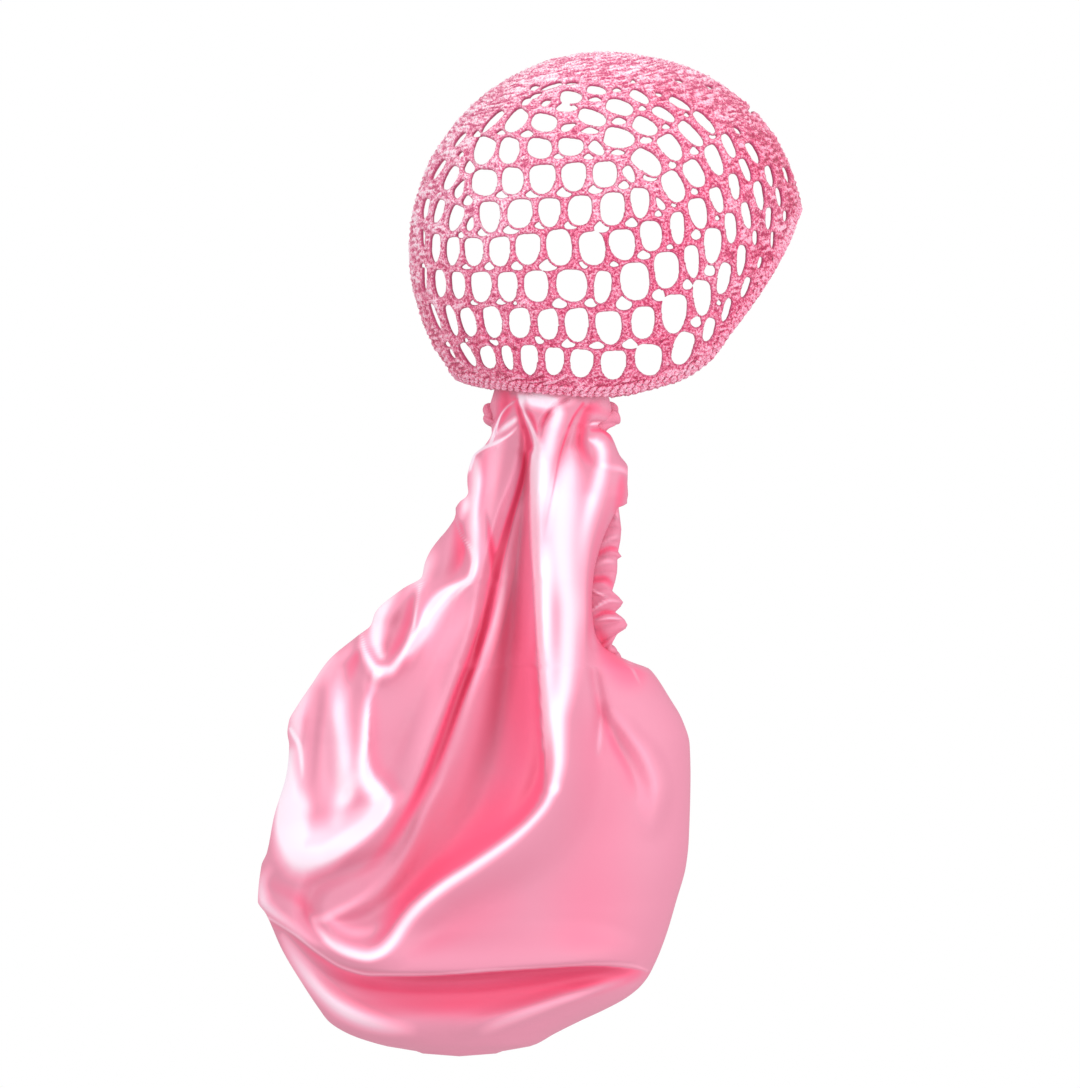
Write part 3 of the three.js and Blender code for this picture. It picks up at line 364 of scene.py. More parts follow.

# Painted highlights and painted shade on the bag's front: paths in the photograph's pixels, each with
# how far the tone goes towards white, a painted highlight, or, where negative, towards the deepest pink,
# painted shade in folds, hollows and under the tuck, and how far it fades to either side.
PAINTED_HIGHLIGHT_AND_SHADE = {
    "right_panel_edge": [
        (519, 400, 0.9, 12, 1.2), (523, 413, 0.9, 6, 1.2), (529, 425, 0.9, 7, 1.2),
        (534.5, 446, 0.9, 14, 1.2), (531.5, 458, 0.9, 22, 1.2), (530, 473, 0.9, 30, 1.2),
        (530, 501, 0.85, 36, 1.2), (531, 538, 0.8, 36, 1.2), (533.6, 575, 0.8, 34, 1.2),
        (535.5, 612, 0.8, 26, 1.2), (537.3, 649, 0.75, 22, 1.2), (540, 690, 0.75, 20, 1.2),
        (543, 740, 0.7, 17, 1.2), (546, 765, 0.3, 12, 1.2), (547, 785, 0, 9, 1.2),
    ],
    "right_panel_band": [
        (572, 455, 0.5, 12, 14), (567, 475, 0.9, 24, 22), (562, 500, 1, 34, 26), (562, 540, 1, 32, 24),
        (564, 575, 1, 28, 22), (568, 612, 1, 24, 20), (567, 645, 1, 21, 19), (564, 684, 1, 19, 17),
        (558, 720, 1, 16, 13), (558, 756, 1, 14, 10), (553, 786, 1, 11, 7),
    ],
    "right_panel_top": [
        (535, 401, 1.1, 20, 14), (550, 404, 1.2, 14, 14), (558, 413, 1.1, 12, 12), (554, 428, 1, 12, 14),
        (549, 448, 0.9, 14, 14), (545, 470, 0.7, 16, 16), (543, 495, 0.3, 18, 16), (542, 520, 0, 18, 14),
    ],
    "swoosh_line": [
        (553, 786, 0.9, 10, 6), (546, 802, 1, 8, 5), (534, 817, 1, 8, 5), (517, 833, 1, 9, 6),
        (494, 850, 1, 11, 6), (470, 866, 1.05, 12, 6), (446.6, 881.5, 1.1, 12, 7),
        (427, 896.5, 1.1, 12, 7), (413.5, 909.5, 1.05, 12, 8), (403.5, 923, 1, 12, 9),
        (393.5, 939, 1, 11, 12), (383, 950, 1, 8, 14), (369, 955, 1, 7, 16), (352.7, 952, 1, 7, 15),
        (336, 944, 0.95, 7, 12), (323, 932, 0.8, 7, 9), (314.6, 921, 0.5, 6, 7), (311, 908, 0, 5, 6),
    ],
    "valley_right_wall": [
        (522, 410, -0.7, 1.5, 7), (527, 432, -0.5, 1.5, 14), (530.5, 451, -0.35, 1.5, 16),
        (529.5, 473, -0.22, 1.5, 20), (529.5, 501, -0.22, 1.5, 24), (530.5, 538, -0.26, 1.5, 30),
        (533, 575, -0.3, 1.5, 40), (535, 612, -0.38, 1.5, 46), (537, 649, -0.48, 1.5, 52),
        (539, 680, -0.55, 1.5, 58), (541, 715, -0.6, 1.5, 64), (543, 746, -0.6, 1.5, 72),
        (544, 775, -0.6, 1.5, 80), (540, 793, -0.62, 1.5, 84), (529, 811, -0.65, 1.5, 84),
        (512, 827, -0.66, 1.5, 82), (489, 844, -0.66, 1.5, 76), (466, 860, -0.66, 1.5, 68),
        (442, 875, -0.7, 1.5, 58), (422, 890, -0.72, 1.5, 46), (408, 903, -0.7, 1.5, 36),
        (398, 916, -0.6, 1.5, 28), (388, 931, -0.4, 1.5, 22), (378, 941, -0.2, 1.5, 16),
        (367, 946, 0, 1.5, 12),
    ],
    "groove": [
        (527, 440, -0.7, 3, 3), (526, 455, -1, 4, 4), (522, 478, -1.3, 5, 5), (516, 501, -1.6, 5, 5.5),
        (509, 524, -1.7, 6, 6.5), (503, 545, -1.8, 6.5, 7), (497.5, 566, -1.9, 7.5, 8),
        (489, 608.5, -2.1, 9, 8.5), (476, 650.6, -2.2, 10, 8.5), (459, 693, -2, 12, 8),
        (443.5, 735, -1.6, 13, 8), (431, 766, -1.2, 14, 8), (420, 790, -0.9, 14, 9),
        (404, 818, -0.55, 12, 8), (388, 842, -0.35, 12, 8), (372, 862, -0.2, 12, 8), (354, 878, 0, 10, 8),
    ],
    "second_groove": [
        (485.5, 508, 0, 2, 2), (488, 522, -0.7, 3, 3), (490.5, 540, -1, 5, 5), (493, 556, -1, 7, 6),
        (494, 572, -0.5, 7, 6), (493, 590, 0, 5, 5),
    ],
    "valley_streak_high": [
        (519, 490, 0.25, 9, 5), (510, 553, 0.65, 14, 6), (502, 594, 0.85, 15, 6), (491, 634, 0.7, 15, 5),
        (477, 672, 0.4, 13, 4), (460, 708, 0.15, 12, 4), (447, 745, 0, 12, 5),
    ],
    "valley_streak_low": [
        (446, 770, 0, 8, 10), (431, 800, 0.05, 8, 12), (416, 830, 0.05, 8, 12), (401, 856, 0.05, 8, 10),
        (384, 876, 0.05, 8, 8), (362, 895, 0.25, 7, 6), (339.5, 909, 0.45, 8, 8), (322, 917, 0.45, 8, 8),
        (312, 918, 0.1, 6, 8),
    ],
    "left_panel_line": [
        (470, 470, 0.7, 8, 3), (474, 456, 1, 5, 3), (484, 448, 1.3, 3.5, 3), (492, 444.5, 1.4, 2.5, 3),
        (502, 440, 1.3, 2.5, 2.5), (512, 433, 1, 2.5, 2.5), (519, 425, 0, 2, 2),
    ],
    "left_panel_patch": [
        (498, 433, 0.5, 5, 5), (506, 427, 1, 6, 6), (514, 421, 1, 5, 5), (519, 416, 0, 4, 4),
    ],
    "left_panel_side": [
        (476, 462, 0.6, 8, 10), (478, 480, 0.9, 9, 14), (476, 500, 0.9, 9, 14), (475, 525, 0.9, 9, 14),
        (475, 545, 0.9, 8, 9), (476, 562, 1, 6, 7), (472, 577, 1, 6, 7), (463, 583, 1, 9, 6),
        (450, 590, 0.95, 16, 9), (438, 598, 0.9, 22, 10), (428, 612, 0.8, 22, 8), (420, 630, 0.65, 18, 6),
        (410, 648, 0.5, 12, 6),
    ],
    "left_panel_mid": [
        (478, 600, 0, 10, 16), (462, 622, 0.2, 14, 26), (446, 650, 0.15, 14, 30), (430, 690, 0, 12, 26),
    ],
    "pocket_lip": [
        (421, 583, 0.8, 3, 2), (417.5, 605, 0.9, 3, 2.5), (414, 626, 0.95, 4, 2.5), (408, 645, 1, 6, 4),
        (399, 660, 1, 8, 6), (390, 668, 1, 12, 6), (379, 668, 1, 14, 7), (370, 658, 1, 10, 6),
        (364, 645, 0.9, 8, 4), (362, 634, 0.6, 5, 3),
    ],
    "pocket_lip_tail": [
        (376, 674, 0.9, 12, 6), (373, 688, 0.5, 8, 4), (370.5, 702, 0.7, 2.5, 10), (369.5, 722, 1, 2, 13),
        (368.5, 742, 1, 2, 15), (368, 760, 1, 4, 18), (373, 776, 1, 6, 24), (383, 788, 1, 7, 26),
        (389, 800, 1, 8, 24), (384, 812, 1, 9, 20), (368, 828, 1, 12, 18), (346, 843, 1, 16, 18),
        (323, 856, 1, 24, 20), (303, 860, 1, 28, 24), (291, 845, 1, 26, 22), (285, 822, 1, 18, 22),
        (286, 800, 0.9, 14, 20), (287, 775, 0.8, 10, 16), (290, 752, 0.5, 6, 12),
    ],
    "pleat_streak": [
        (343, 672, 0.3, 11, 10), (341.5, 688, 0.55, 15, 13), (341, 712, 0.65, 17, 15),
        (343, 735, 0.65, 18, 16), (345, 760, 0.7, 18, 17), (345, 785, 0.7, 18, 17),
        (340, 806, 0.5, 16, 16), (334, 828, 0, 12, 12),
    ],
    "left_edge_line": [
        (291, 728, 0.5, 3, 3), (296, 736, 0.8, 4, 4), (301, 746, 0.8, 4, 4), (303, 764, 0.5, 4, 4),
        (304, 780, 0, 3, 3),
    ],
    "pocket_dark": [
        (415, 588, -0.3, 4, 6), (413, 603, -0.4, 5, 11), (409, 622, -0.45, 5, 13),
        (402, 640, -0.45, 6, 13), (393, 652, -0.3, 7, 10), (387, 660, 0, 6, 8),
    ],
    "pocket_light": [
        (394, 592, 0.5, 10, 11), (384, 606, 0.8, 14, 12), (377, 624, 0.95, 15, 12), (377, 642, 1, 12, 10),
        (382, 655, 1, 8, 8),
    ],
    "under_pocket": [
        (361, 638, -0.5, 2.5, 9), (358, 655, -0.45, 8, 13), (350, 672, -0.35, 12, 15),
        (342, 690, -0.15, 12, 14), (338, 706, 0, 12, 14),
    ],
    "beside_tail": [
        (374, 692, -0.05, 10, 3), (373.5, 715, -0.12, 14, 2), (372.5, 745, -0.15, 16, 2.5),
        (377, 766, -0.2, 16, 4), (390, 780, -0.2, 16, 5), (399, 797, -0.15, 12, 5), (396, 815, 0, 10, 5),
    ],
    "left_low_shade": [
        (266, 862, 0, 10, 8), (272, 882, -0.1, 14, 8), (290, 892, -0.2, 14, 10), (306, 904, -0.35, 12, 9),
        (312, 920, -0.35, 9, 7), (322, 935, -0.2, 7, 6),
    ],
    "swirl_bowl": [
        (330, 912, 0.1, 6, 6), (340, 924, 0.3, 9, 9), (356, 930, 0.35, 10, 10), (372, 928, 0.2, 9, 9),
        (384, 918, 0, 8, 8),
    ],
    "lip_line": [
        (270, 916.5, 0.7, 2, 3), (293, 930, 0.6, 2, 3), (319.6, 950, 0.6, 2, 3), (346, 965.5, 0.6, 2, 3),
        (372.6, 971.5, 0.6, 2, 3), (425.7, 971.5, 0.5, 2, 3), (492, 966.5, 0.5, 2, 3),
        (560, 963.3, 0.4, 2, 3), (605, 961, 0.4, 2, 3), (632, 963, 0.4, 2, 3), (647, 969, 0.2, 2, 3),
    ],
    "under_lip_dark": [
        (643, 969, -0.2, 14, 2), (620, 966, -0.9, 22, 1.5), (590, 964, -1.1, 28, 1.5),
        (545, 966, -1.15, 30, 1.5), (500, 969, -1.15, 28, 1.5), (455, 972, -1.1, 26, 1.5),
        (410, 974, -0.95, 24, 1.5), (372, 974, -0.7, 22, 1.5), (346, 968, -0.55, 18, 1.5),
        (320, 953, -0.5, 14, 1.5), (294, 933, -0.3, 10, 1.5), (272, 919, -0.2, 7, 1.5),
    ],
    "low_left_light": [
        (284, 935, 0.3, 12, 7), (297, 958, 0.6, 16, 12), (317, 984, 0.8, 20, 14),
        (343, 1007, 0.85, 22, 16), (372, 1021, 0.7, 20, 14), (396, 1027, 0.4, 16, 11),
        (420, 1029, 0, 14, 9),
    ],
    "low_right_light": [
        (478, 1030, 0, 9, 9), (500, 1020, 0.35, 10, 10), (545, 1003, 0.5, 10, 9), (590, 988, 0.5, 9, 7),
        (620, 978, 0.3, 8, 6), (638, 970, 0, 6, 5),
    ],
    "bulge_light": [
        (612, 712, 0.1, 10, 12), (626, 736, 0.15, 16, 20), (642, 760, 0.25, 22, 26),
        (650, 784, 0.25, 24, 26), (648, 806, 0.15, 20, 20), (640, 825, 0, 16, 14),
    ],
    "bulge_shade": [
        (594, 690, 0, 8, 3), (603, 716, -0.3, 5, 8), (617, 746, -0.25, 4, 14), (630, 772, -0.2, 4, 18),
        (636, 800, 0, 4, 20),
    ],
    "small_streak": [
        (600, 712, 0, 2, 2), (600.4, 722, 0.6, 3, 3), (599, 741, 0.5, 4, 4), (597.4, 756, 0, 3, 3),
    ],
    "panel_crease": [
        (583, 404, -0.8, 2.5, 2.5), (573, 418, -0.9, 2.5, 2.2), (566, 436, -1, 2.2, 1.8),
        (560, 455, -0.9, 2, 1.6), (553, 490, -0.7, 1.6, 1.4), (547, 520, -0.3, 1.4, 1.2),
        (544, 540, 0, 1.2, 1.2),
    ],
    "panel_crease_left": [
        (567, 400, -0.6, 2.5, 4), (556, 407, -0.7, 2.5, 6), (548.4, 414, -0.6, 2.5, 5),
        (543.5, 423, -0.5, 2.5, 4), (542, 432, -0.2, 2, 3), (540, 445, 0, 2, 2),
    ],
    "small_triangle": [
        (525, 409, -0.3, 3, 2), (529, 416, -0.9, 8, 2.5), (533, 424, -1, 6, 2.5),
        (536, 431, -0.9, 3.5, 2.5), (538, 438, 0, 2, 2),
    ],
    "dimple": [
        (592, 405, -0.3, 14, 6), (584, 414, -0.65, 12, 4), (580, 428, -0.75, 12, 5),
        (579, 442, -0.7, 9, 6), (583, 455, -0.45, 11, 7), (594, 464, -0.2, 12, 8), (604, 468, 0, 9, 8),
    ],
    "dimple_light": [
        (590, 441, 0.7, 5, 2.5), (598, 444, 1, 11, 9), (602, 455, 0.9, 11, 9), (600, 474, 0.9, 13, 12),
        (594, 497, 0.8, 14, 13), (589, 520, 0.5, 13, 12), (586, 545, 0.2, 10, 12), (584, 570, 0, 8, 10),
    ],
    "under_lip_wide": [
        (620, 976, 0, 14, 10), (575, 983, -0.35, 24, 12), (520, 990, -0.5, 32, 16),
        (460, 994, -0.55, 36, 18), (400, 992, -0.45, 30, 16), (352, 980, -0.2, 22, 12),
        (325, 964, 0, 14, 10),
    ],
    "left_glow": [
        (284, 742, 0.3, 12, 14), (288, 780, 0.5, 20, 20), (292, 815, 0.7, 30, 30), (310, 838, 0.8, 34, 34),
        (340, 830, 0.7, 28, 30), (366, 812, 0.6, 20, 28), (384, 798, 0.4, 12, 24),
    ],
    "left_top_glow": [
        (330, 655, 0.4, 12, 12), (312, 676, 0.6, 14, 14), (302, 700, 0.75, 16, 18),
        (297, 722, 0.75, 14, 18), (299, 745, 0.5, 14, 14), (302, 780, 0.45, 14, 16),
        (304, 805, 0.5, 16, 18), (304, 830, 0.3, 14, 16),
    ],
    "notch_line": [
        (589, 425, 0, 2, 2), (593, 424, 1.2, 2.5, 2.5), (600, 423.5, 1.4, 2.5, 2.5),
        (606, 427, 1.2, 2.5, 2.5), (612, 434, 0.6, 2, 2),
    ],
    "puff_shade": [
        (585, 409, -0.3, 8, 6), (594, 410, -0.35, 9, 7), (604, 413, -0.2, 9, 7), (612, 416, -0.15, 8, 7),
    ],
    "under_notch": [
        (592, 431, -0.6, 4, 3), (600, 431, -0.7, 5, 3), (608, 436, -0.6, 4, 3), (613, 444, 0, 3, 3),
    ],
    "right_puff_ridge": [
        (603, 466, 0.2, 6, 5), (612, 468, 0.3, 6, 5), (621, 470, 0.45, 5, 4), (629, 475, 0.2, 4, 4),
    ],
    "right_puff_shade": [
        (622, 478, -0.3, 8, 8), (621, 488, -0.5, 9, 9), (620, 498, -0.5, 9, 9), (617, 510, -0.4, 8, 8),
    ],
    "right_edge_shade": [
        (612, 480, 0, 6, 5), (610, 496, -0.15, 12, 6), (606, 514, -0.15, 10, 8), (599, 535, -0.2, 8, 8),
        (593, 560, -0.2, 6, 8), (590, 590, -0.25, 5, 8), (590, 620, -0.25, 5, 7), (591, 655, -0.1, 4, 7),
        (594, 690, 0, 4, 8),
    ],
    "casing_foot": [
        (594, 622, -0.3, 8, 4), (602, 640, -0.55, 14, 12), (614, 656, -0.55, 12, 28),
        (630, 668, -0.5, 8, 36), (650, 676, -0.1, 8, 30),
    ],
    "casing_foot_line": [
        (622, 650, 0.4, 2.5, 2.5), (628, 661, 0.7, 2.5, 2.5), (635, 674, 0.5, 2.5, 2.5),
        (640, 684, 0, 2, 2),
    ],
    "left_strip": [
        (516, 401, 0.2, 2, 2), (508, 406.5, 1.4, 2, 2), (501, 415, 1.6, 2, 2), (497, 426, 1.6, 2, 3),
        (494, 436, 1.2, 2, 4), (491, 444, 0.8, 2, 4),
    ],
    "left_puff_shade": [
        (506, 396, -0.7, 10, 14), (507, 406, -0.9, 10, 16), (503, 418, -0.6, 7, 12), (497, 432, 0, 4, 6),
    ],
    "valley_head": [
        (517, 400, -0.8, 2, 8), (521, 416, -0.8, 2, 7), (527, 430, -0.9, 2, 8), (532, 446, -0.9, 2, 10),
    ],
    "left_haze": [
        (336, 650, 0, 26, 20), (326, 690, 0.3, 34, 26), (322, 740, 0.35, 40, 30), (330, 790, 0.3, 40, 30),
        (350, 820, 0, 30, 24),
    ],
    "left_low_glow": [
        (270, 868, 0.2, 10, 10), (262, 884, 0.6, 12, 10), (264, 900, 0.75, 14, 10),
        (276, 912, 0.65, 12, 8), (290, 922, 0.5, 10, 6), (306, 936, 0.3, 9, 5), (320, 946, 0, 8, 4),
    ],
    "valley_floor": [
        (516, 560, 0, 14, 12), (512, 600, -0.15, 22, 14), (506, 650, -0.2, 28, 18),
        (498, 700, -0.2, 34, 24), (488, 745, -0.15, 38, 30), (474, 790, -0.1, 40, 36),
        (456, 830, 0, 36, 34),
    ],
    "crest_hollow": [
        (455, 516, -0.3, 4, 5), (461, 530, -0.65, 6, 12), (463, 546, -0.7, 6, 16),
        (461, 560, -0.55, 6, 16), (454, 572, -0.2, 7, 14), (444, 582, 0, 8, 10),
    ],
    "crest_edge": [
        (456, 518, 0.6, 2, 2), (462, 536, 1, 2.5, 2), (470, 548, 1.1, 3, 2), (473.5, 560, 1, 3, 2.5),
        (469.5, 578, 0.6, 3, 3),
    ],
    "small_puff": [
        (466, 492, 0.2, 6, 6), (465, 506, 0.8, 8, 8), (462, 518, 0.3, 6, 6),
    ],
    "crest_low_light": [
        (470, 582, 0.6, 5, 4), (452, 590, 0.7, 14, 5), (437, 602, 0.8, 20, 6), (428, 616, 0.7, 22, 6),
        (420, 634, 0.6, 18, 7), (408, 652, 0.4, 14, 6),
    ],
    "pleat_shade": [
        (326, 672, 0, 8, 8), (324, 690, -0.25, 9, 9), (321, 715, -0.35, 10, 9), (318, 745, -0.3, 10, 9),
        (317, 775, -0.15, 10, 8), (320, 800, 0, 9, 8),
    ],
    "left_panel_haze": [
        (497, 443, 0.55, 14, 20), (492, 490, 0.4, 10, 16), (484, 540, 0.2, 8, 16),
        (470, 600, 0.12, 12, 26), (450, 660, 0.1, 22, 46), (430, 700, 0.05, 24, 46),
        (408, 745, -0.05, 26, 40), (395, 780, 0, 24, 30),
    ],
    "right_panel_side": [
        (590, 500, 0.2, 12, 14), (584, 540, 0.25, 10, 14), (583, 590, 0.2, 8, 12), (583, 640, 0.1, 7, 10),
        (580, 690, 0, 6, 8),
    ],
    "lens_haze": [
        (404, 588, 0.2, 12, 16), (384, 610, 0.25, 16, 18), (372, 634, 0.25, 16, 14),
        (356, 648, 0.3, 8, 16), (340, 658, 0.25, 12, 16), (322, 678, 0.2, 14, 16),
    ],
    "belly_shade": [
        (596, 690, 0, 30, 30), (596, 740, -0.12, 44, 44), (600, 800, -0.12, 60, 60),
        (596, 850, -0.12, 70, 60), (590, 900, -0.16, 80, 70), (584, 935, -0.16, 80, 60),
        (580, 958, 0, 70, 50),
    ],
    "lower_right_dark": [
        (560, 985, 0, 10, 10), (590, 984, -0.25, 14, 14), (620, 978, -0.25, 12, 12), (642, 972, 0, 8, 8),
    ],
    "right_panel_fill": [
        (546, 540, 0, 9, 8), (546, 570, 0.5, 12, 10), (547, 610, 0.6, 13, 10), (549, 650, 0.55, 13, 10),
        (550, 690, 0.4, 12, 8), (550, 725, 0.2, 10, 7), (550, 745, 0, 8, 6),
    ],
    "low_belly_shade": [
        (400, 955, 0, 14, 12), (436, 938, -0.12, 24, 22), (466, 920, -0.14, 36, 32),
        (500, 902, -0.09, 42, 40), (530, 890, 0, 42, 40),
    ],
    "panel_shade_low": [
        (440, 665, 0, 12, 12), (436, 700, 0.15, 14, 16), (424, 735, 0.2, 12, 18), (412, 765, 0.1, 12, 18),
        (402, 790, 0, 12, 14),
    ],
    "left_puff_glow": [
        (434, 546, 0.1, 10, 10), (430, 556, 0.45, 15, 15), (424, 568, 0.75, 17, 16),
        (418, 582, 0.75, 15, 14), (410, 594, 0.2, 10, 10),
    ],
    "panel_head": [
        (521, 399, 0.4, 9, 9), (536, 401, 0.4, 9, 9), (552, 402, 0.5, 9, 9), (566, 402, 0.5, 9, 9),
        (578, 400, 0, 7, 7),
    ],
    "left_crest_haze": [
        (462, 580, 0.1, 20, 8), (446, 592, 0.3, 30, 10), (432, 606, 0.3, 32, 10), (420, 624, 0.25, 30, 8),
        (408, 648, 0.15, 24, 8), (400, 666, 0, 16, 8),
    ],
    "tail_haze": [
        (369, 690, 0, 3, 22), (368, 715, 0.2, 3, 26), (367, 745, 0.25, 3, 30), (368, 775, 0.3, 4, 32),
        (376, 800, 0.2, 6, 30), (372, 820, 0, 8, 26),
    ],
    "bowl_glow": [
        (302, 786, 0, 12, 12), (308, 804, 0.25, 12, 12), (318, 812, 0, 10, 10), (336, 806, 0, 10, 10),
        (349, 796, 0.45, 14, 14), (356, 776, 0.2, 12, 12),
    ],
}

# The ruched casing of the bag's mouth: the outline of its right side, and the creases there in the
# same terms as PAINTED_HIGHLIGHT_AND_SHADE, all in the photograph's pixels. The creases raise the
# casing and are painted on its front as highlights and shade.
CASING_OUT = [
    (400, 598), (440, 606), (460, 612), (480, 618), (500, 618), (505, 618.5), (515, 620.5),
    (525, 622), (536, 621), (548, 618.5), (552.5, 622), (556, 617.5), (563, 617.5), (570, 617),
    (580, 615), (590, 612), (596, 618.5), (602, 623), (607, 620.5), (613, 615), (618, 621),
    (622, 624.5), (630, 628), (636, 627), (642, 624.5), (645.5, 628.5), (648, 623), (657, 627),
    (667, 632), (690, 634),
]
CASING_PAINTED_CREASES = {
    "top": [(612, 508, 0.3, 5, 5), (617, 514, 0.4, 7, 6), (618, 522, 0, 6, 6)],
    "first_ridge": [(600, 544, 0.2, 4, 3), (610, 539, 0.4, 5, 4), (622, 536, 0.1, 5, 4)],
    "first_crease": [(598, 553, -0.6, 4, 6), (610, 548, -0.6, 4, 5), (622, 551.5, -0.9, 3, 4)],
    "second_ridge": [(594, 566, 0.2, 5, 5), (606, 561, 0.45, 6, 5), (618, 562, 0.1, 5, 5)],
    "second_crease": [(590, 580, -0.7, 6, 6), (603, 579, -0.7, 7, 6), (614, 588, -0.5, 5, 5)],
    "third_ridge": [(589, 589, 0.6, 2.5, 2.5), (598, 593, 0.7, 3, 2.5), (608, 598, 0, 3, 2.5)],
    "fourth_ridge": [(589, 612.5, 0.7, 3, 2.5), (599, 605, 0.8, 3, 3), (610, 600, 0.5, 4, 4),
                     (622, 602, 0.2, 4, 4)],
    "notch": [(594, 617, -0.5, 3, 3), (606, 612, -0.7, 4, 3.5), (617, 612.5, -0.8, 3, 3)],
    "fifth_ridge": [(598, 620, 0.3, 3, 3), (610, 618, 0.7, 3.5, 3), (620, 619, 0.6, 4, 3)],
    "wide_hollow": [(596, 630, -0.4, 9, 8), (603, 643, -0.6, 10, 10), (608, 660, -0.4, 9, 9)],
    "edge_line": [(624, 628, 0.4, 3, 3), (624, 638, 0.7, 2.5, 2.5), (622, 648, 0.7, 2.5, 2.5),
                  (628, 661, 0.7, 2.5, 2.5), (635, 674, 0.4, 2.5, 2.5)],
}
# How far the creases' tone raises the casing, and painted shade that darkens the whole casing's tone.
CASING_RELIEF = 2.4
CASING_PAINTED_SHADE = 0.12
# The casing's half width and half thickness, the step along it and the points round it.
CASING_HALF = (5.5, 3.2)
CASING_STEP = 0.6
CASING_SIDES = 28
# Its ruches: their length, the shares of it between which they vary, how full they are, the puff
# that leaves the casing as it is, their slant, and how much they widen and thicken it.
RUCHE = 6.5
RUCHE_LENGTHS = (0.6, 1.5)
RUCHE_FULL = 0.6
RUCHE_EVEN = 0.6
RUCHE_SLANT = 1.4
RUCHE_WIDER, RUCHE_THICKER = 0.3, 0.5
# The mouth's line: its points down a side and across, and how far along it is evened out.
MOUTH_SIDE_POINTS, MOUTH_WIDTH_POINTS = 90, 120
MOUTH_ROLLING = 9
# The casing's sides fade in over the mouth's low end and out under its high one, and its top swells
# just under that. The right side turns right and starts inside the bag's edge, the left side is
# moved in, and both lie farther back. Well below the neck the rest is kept inside the bag's outline.
SIDE_OVER_LOW, SIDE_UNDER_HIGH = (2, 10), (4, 12)
TOP_UNDER_HIGH = (1, 6)
TOP_SWELL = 0.3
RIGHT_TURN = 40.0
RIGHT_INSIDE = 3
LEFT_INSIDE = 9
SIDES_BACK = 2.5
HIDDEN_BELOW_NECK, HIDDEN_INSIDE = 30, 5

# The yarn's colours from 0 to 255 by their places on its ramps, for deep yarn and for pale, the
# share in them of its streaks with their painted highlight, and the painted shade at its edges.
YARN_DEEP = [
    (0.37, (182, 44, 88)), (0.46, (224, 80, 122)), (0.54, (238, 116, 152)), (0.64, (252, 176, 204)),
]
YARN_PALE = [
    (0.37, (206, 82, 124)), (0.46, (238, 136, 170)), (0.54, (246, 176, 202)), (0.64, (255, 236, 244)),
]
STREAKS_AND_HIGHLIGHT_SHARE = 0.2
PAINTED_EDGE_SHADE = (196, 70, 116)
# Pale yarn lies in clouds, random in places, that thicken along a way up and to the camera's left,
# a painted highlight, over a range of metres and up to a share.
LIT_SIDE_WAY = (-0.8, 0, 1)
PALE_RANGE = (-0.12, -0.01)
PALE_SHARE = 0.85
PALE_CLOUDS, PALE_CUT = 1.6, 0.72
# The satin's colours from 0 to 255 by tone: painted shade in deep pinks, its own pink at 0.5, painted
# highlight at 1.
SATIN_SHADE_TO_HIGHLIGHT = [
    (0.0, (216, 70, 106)), (0.2, (240, 98, 134)), (0.35, (229, 117, 148)), (0.5, (220, 137, 162)),
    (0.6, (238, 151, 177)), (0.75, (245, 177, 200)), (1.0, (250, 230, 243)),
]
FLOOR_TONES = [(0.3, (0.86, 0.86, 0.86)), (0.7, (0.9, 0.9, 0.9))]

# The stage in metres and watts: the floor's half width and height, how strongly the white world
# lights and is seen, what the lights aim at, and each one's place, size and power.
FLOOR_HALF, FLOOR_HEIGHT = 14.0, -1.6
WORLD_LIGHT, WORLD_SEEN = 0.68, 1.0
LIGHT_AIM = (-0.05, 0, -0.3)
LIGHTS = [
    ("key_light", (-1.7, -1.8, 0.6), (0.9, 1.6), 24),
    ("fill_light", (1.7, -1.6, 0.0), (0.8, 1.6), 26),
    ("top_light", (0.1, -0.3, 1.7), (1.4, 1.0), 14),
]

BODY = "root"


def curve_through(places, values):
    """A smooth curve through a table's values that never passes beyond them, flat past its ends."""
    order = np.argsort(places)
    xs = np.asarray(places, float)[order]
    ys = np.asarray(values, float)[order]
    rises = np.diff(ys) / np.diff(xs)
    slopes = np.zeros(len(xs))
    before, after = rises[:-1], rises[1:]
    same_way = before * after > 0
    total = np.where(same_way, before + after, 1)
    slopes[1:-1] = np.where(same_way, 2 * before * after / total, 0)

    def value(at):
        at = np.clip(at, xs[0], xs[-1])
        i = np.clip(np.searchsorted(xs, at, side="right") - 1, 0, len(xs) - 2)
        step = xs[i + 1] - xs[i]
        t = (at - xs[i]) / step
        share = t * t * (3 - 2 * t)
        leaving = t * (1 - t) ** 2 * slopes[i]
        arriving = t * t * (t - 1) * slopes[i + 1]
        return ys[i] + (ys[i + 1] - ys[i]) * share + step * (leaving + arriving)

    return value


def column(table, index):
    return curve_through([row[0] for row in table], [row[index] for row in table])


def smoothstep(value, low, high):
    t = np.clip((value - low) / (high - low), 0, 1)
    return t * t * (3 - 2 * t)


def model_place(x, y):
    """The model's x and z for a place in the photograph's pixels."""
    return (x - ORIGIN_PIXEL[0]) * MM_PER_PIXEL, (ORIGIN_PIXEL[1] - y) * MM_PER_PIXEL


def in_scene(name, data):
    """A new object of that name with that data, linked into the scene."""
    made = bpy.data.objects.new(name, data)
    bpy.context.scene.collection.objects.link(made)
    return made


def point_values(made, name, values):
    """Store a value at each of a mesh's points, where its material reads it."""
    attribute = made.data.attributes.new(name, "FLOAT", "POINT")
    attribute.data.foreach_set("value", np.asarray(values, np.float32))


def mesh_piece(name, points, faces, material):
    """A smooth-shaded mesh from points in millimetres, riding on the one body."""
    mesh = bpy.data.meshes.new(name)
    mesh.from_pydata((np.asarray(points) * MM).tolist(), [], faces)
    mesh.shade_smooth()
    mesh.materials.append(material)
    made = in_scene(name, mesh)
    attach(made, BODY)
    return made


